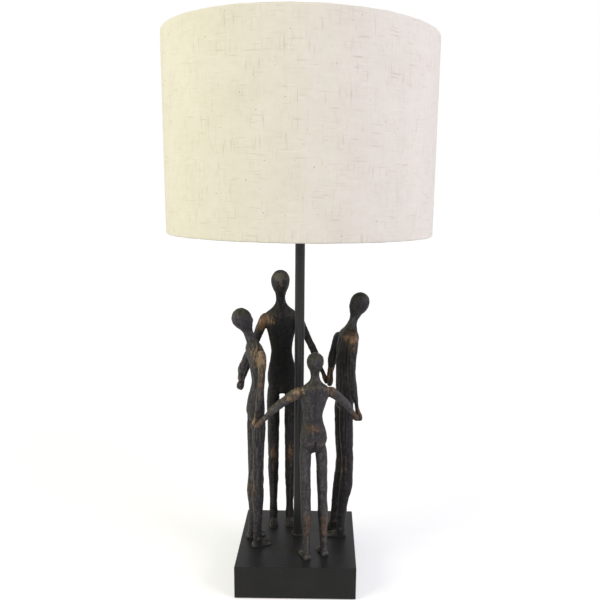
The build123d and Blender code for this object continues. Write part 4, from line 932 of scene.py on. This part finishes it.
def linen_cover():
    """The drum's cloth: one closed sheet with rolled hems, slit for the wire arms, and a lapped seam."""
    turns = set(np.round(np.linspace(0, 360, TURN_STEPS, endpoint=False), 4))
    slit_turn = math.degrees(NOTCH_MM / SHADE_RADIUS_MM)
    for arm in ARM_TURNS:
        turns |= {round((arm + side * slit_turn * grow) % 360, 4) for side in (-1, 1) for grow in (0.999, 1.06)}
    seam_end = SEAM_TURN + math.degrees(SEAM_WIDTH_MM / SHADE_RADIUS_MM)
    turns |= {round(SEAM_TURN + 0.12 * i, 4) for i in (-1, 0, 1)} | {round(seam_end, 4)}
    turns = np.array(sorted(turns))
    whole = hem_path(False)
    rows = len(whole)
    rng = np.random.default_rng(4)
    wander = [(rng.uniform(0, 2 * math.pi), rng.uniform(0, 2 * math.pi)) for _ in range(6)]
    points = []
    for turn in turns:
        slit = any(abs((turn - arm + 180) % 360 - 180) <= slit_turn for arm in ARM_TURNS)
        path = hem_path(slit)
        bend = math.radians(turn)
        # Taut cloth on its liner: the wall wanders a hair's breadth, and the hems a little more.
        share = np.clip((path[:, 1] - LOWER_WIRE_MM) / (UPPER_WIRE_MM - LOWER_WIRE_MM), 0, 1)
        pull = sum(WALL_WANDER_MM * math.sin((3 + 4 * i) * bend + a) for i, (a, _) in enumerate(wander))
        pull = pull * np.sin(math.pi * share)
        drop = sum(HEM_WANDER_MM * math.sin((5 + 7 * i) * bend + b) for i, (_, b) in enumerate(wander))
        lap = SEAM_LAP_MM if SEAM_TURN <= turn <= seam_end else 0.0
        if lap and turn > SEAM_TURN:
            lap *= 1.0 - 0.75 * (turn - SEAM_TURN) / (seam_end - SEAM_TURN)
        hem = np.clip(np.abs(share - 0.5) * 2, 0, 1) ** 12
        for layer in (1, -1):
            off = layer * CLOTH_MM / 2 + (lap if layer > 0 else 0.0)
            radius = path[:, 0] + path[:, 2] * off + pull
            height = path[:, 1] + path[:, 3] * off + drop * hem * np.sign(share - 0.5)
            points.append(np.stack([radius * math.cos(bend), radius * math.sin(bend), height], 1))
    count = len(turns)
    points = np.concatenate(points) * MM
    lengths = np.concatenate([[0.0], np.cumsum(np.linalg.norm(np.diff(whole[:, :2], axis=0), axis=1))])
    faces, spots = [], []

    def face(first, start, end):
        """From one turn to the next, between two lines round the drum, each a layer and a row. The map runs on past
        the last turn."""
        corners = [(first, *start), (first + 1, *start), (first + 1, *end), (first, *end)]
        faces.append([((i % count) * 2 + layer) * rows + row for i, layer, row in corners])
        for i, _, row in corners:
            turn = turns[i % count] + 360 * (i // count)
            spots.append((math.radians(turn) * SHADE_RADIUS_MM * MM, lengths[row] * MM))

    for i in range(count):
        for row in range(rows - 1):
            face(i, (0, row), (0, row + 1))
            face(i, (1, row + 1), (1, row))
        face(i, (1, 0), (0, 0))
        face(i, (0, rows - 1), (1, rows - 1))
    mesh = bpy.data.meshes.new("linen_cover")
    mesh.from_pydata(points.tolist(), [], faces)
    uv = mesh.uv_layers.new(name="cloth")
    uv.data.foreach_set("uv", np.array(spots).ravel())
    made = add("linen_cover", mesh)
    mesh.materials.append(FINISHES["linen"])
    mesh.shade_smooth()
    weld(mesh)
    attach(made, "shade")
    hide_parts("shade_fabric")


def weld(mesh):
    """Merges points that fell together, as at a slit, and drops the faces that this flattens."""
    together = 0.004 * MM
    work = bmesh.new()
    work.from_mesh(mesh)
    bmesh.ops.remove_doubles(work, verts=work.verts, dist=together)
    bmesh.ops.dissolve_degenerate(work, edges=work.edges, dist=together)
    bmesh.ops.recalc_face_normals(work, faces=work.faces)
    work.to_mesh(mesh)
    work.free()


linen_cover()


# ---------------------------------------------------------------- felt under the block
FELT_CORNER_MM = 1.2
FELT_STEPS = 72
NAP_MM, NAP_SIZE_MM, NAP_SEED = 0.06, 3.0, 7
EDGE_IN_MM, EDGE_UP_MM = 0.3, 0.35  # how the lower edge is softened


def felt_sheet():
    """A square of felt glued under the block: softly rounded edges, its top face flat against the block."""
    low, high = (np.array(corner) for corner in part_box("felt_pad"))
    size, middle = (high - low)[:2] / 2, (high + low)[:2] / 2
    grid = np.linspace(-1, 1, FELT_STEPS + 1)
    across, along = np.meshgrid(grid, grid, indexing="ij")
    shares = np.stack([across.ravel(), along.ravel()], 1)
    flat = shares * size
    corner = FELT_CORNER_MM * MM
    over = np.maximum(np.abs(flat) - (size - corner), 0)
    length = np.maximum(np.linalg.norm(over, axis=1), 1e-12)
    pull = np.where(length > corner, corner / length, 1.0)[:, None]
    flat = np.sign(flat) * np.where(over > 0, (size - corner) + over * pull, np.abs(flat))
    wavy = np.column_stack([flat / MM / NAP_SIZE_MM, np.zeros(len(flat))])
    edge = (np.abs(shares).max(1) > 0.999).astype(float)
    nap = NAP_MM * MM * (1.0 + value_noise(wavy, NAP_SEED))
    inwards = flat - np.sign(flat) * edge[:, None] * EDGE_IN_MM * MM
    bottom = np.column_stack([inwards, low[2] + nap + edge * EDGE_UP_MM * MM])
    top = np.column_stack([flat, np.full(len(flat), high[2])])
    points = np.concatenate([bottom, top]) + np.array([*middle, 0.0])
    index = np.arange(len(flat)).reshape(across.shape)
    cells = np.stack([index[:-1, :-1], index[1:, :-1], index[1:, 1:], index[:-1, 1:]], -1).reshape(-1, 4)
    rim = np.concatenate([index[:-1, 0], index[-1, :-1], index[:0:-1, -1], index[0, :0:-1]])
    after = np.roll(rim, -1)
    sides = np.stack([rim, after, after + len(flat), rim + len(flat)], 1)
    faces = np.concatenate([cells[:, ::-1], cells + len(flat), sides])
    mesh = bpy.data.meshes.new("felt_sheet")
    mesh.from_pydata(points.tolist(), [], faces.tolist())
    weld(mesh)
    mesh.materials.append(FINISHES["felt"])
    made = add("felt_sheet", mesh)
    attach(made, "base")
    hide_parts("felt_pad")


felt_sheet()


# ---------------------------------------------------------------- floor and light
FLOOR_REACH = 12.0
FLOOR_GREY = (0.72, 0.72, 0.72, 1.0)
# The lamps reach less of the far floor, so it glows more there, and the shadow near the block stays.
FLOOR_GLOW = {"From Min": 0.4, "From Max": 2.5, "To Min": 0.48, "To Max": 0.76}
SKY_STRENGTH = 0.38
SOFTBOX_SIZE, SOFTBOX_POWER = 1.3, 30.0
LIT_MIDDLE = Vector((0.0, 0.0, 0.35))


def floor():
    """A pale floor: diffuse, so that it takes the lamp's shadow, and lifted to white where nothing shades it."""
    material = bpy.data.materials.new("floor")
    tree = Tree(material)
    tree.tree.nodes.clear()
    rays = tree.node("LightPath").outputs
    seen = tree.most(rays["Is Camera Ray"], rays["Is Glossy Ray"])
    place = tree.node("NewGeometry").outputs["Position"]
    away = tree.node("VectorMath", {0: place}, operation="LENGTH").outputs["Value"]
    share = tree.node("MapRange", {"Value": away, **FLOOR_GLOW}).outputs["Result"]
    glow = tree.node("Emission", {"Color": WHITE, "Strength": tree.product(seen, share)})
    diffuse = tree.node("BsdfDiffuse", {"Color": FLOOR_GREY})
    lifted = tree.node("AddShader", {0: diffuse.outputs[0], 1: glow.outputs[0]})
    tree.node("OutputMaterial", {"Surface": lifted.outputs[0]})
    mesh = bpy.data.meshes.new("floor")
    corners = [(x * FLOOR_REACH, y * FLOOR_REACH, 0.0) for x, y in ((-1, -1), (1, -1), (1, 1), (-1, 1))]
    mesh.from_pydata(corners, [], [(0, 1, 2, 3)])
    mesh.materials.append(material)
    made = add("floor", mesh)


def world(strength):
    """Soft white light from all round, and plain white where the camera, a gloss or a glass looks at it."""
    sky = bpy.data.worlds.new("sky")
    tree = Tree(sky)
    tree.tree.nodes.clear()
    rays = tree.node("LightPath").outputs
    seen = rays["Is Camera Ray"]
    for kind in ("Is Glossy Ray", "Is Transmission Ray"):
        seen = tree.most(seen, rays[kind])
    lit = tree.node("Background", {"Color": WHITE, "Strength": strength})
    white = tree.node("Background", {"Color": WHITE})
    mix = tree.node("MixShader", {0: seen, 1: lit.outputs[0], 2: white.outputs[0]})
    tree.node("OutputWorld", {"Surface": mix.outputs[0]})
    scene.world = sky


def softbox(name, place, colour):
    """A square lamp that faces the middle of the lamp's height."""
    light = bpy.data.lights.new(name, "AREA")
    light.shape = "SQUARE"
    light.size = SOFTBOX_SIZE
    light.energy = SOFTBOX_POWER
    light.color = colour
    made = add(name, light)
    made.location = place
    made.rotation_euler = (LIT_MIDDLE - Vector(place)).to_track_quat("-Z", "Y").to_euler()


floor()
world(SKY_STRENGTH)
softbox("left_softbox", (-1.70, -1.00, 1.25), (1.0, 0.985, 0.76))
softbox("right_softbox", (1.72, -0.98, 1.25), (0.90, 0.86, 1.0))
scene.view_settings.view_transform = "Standard"
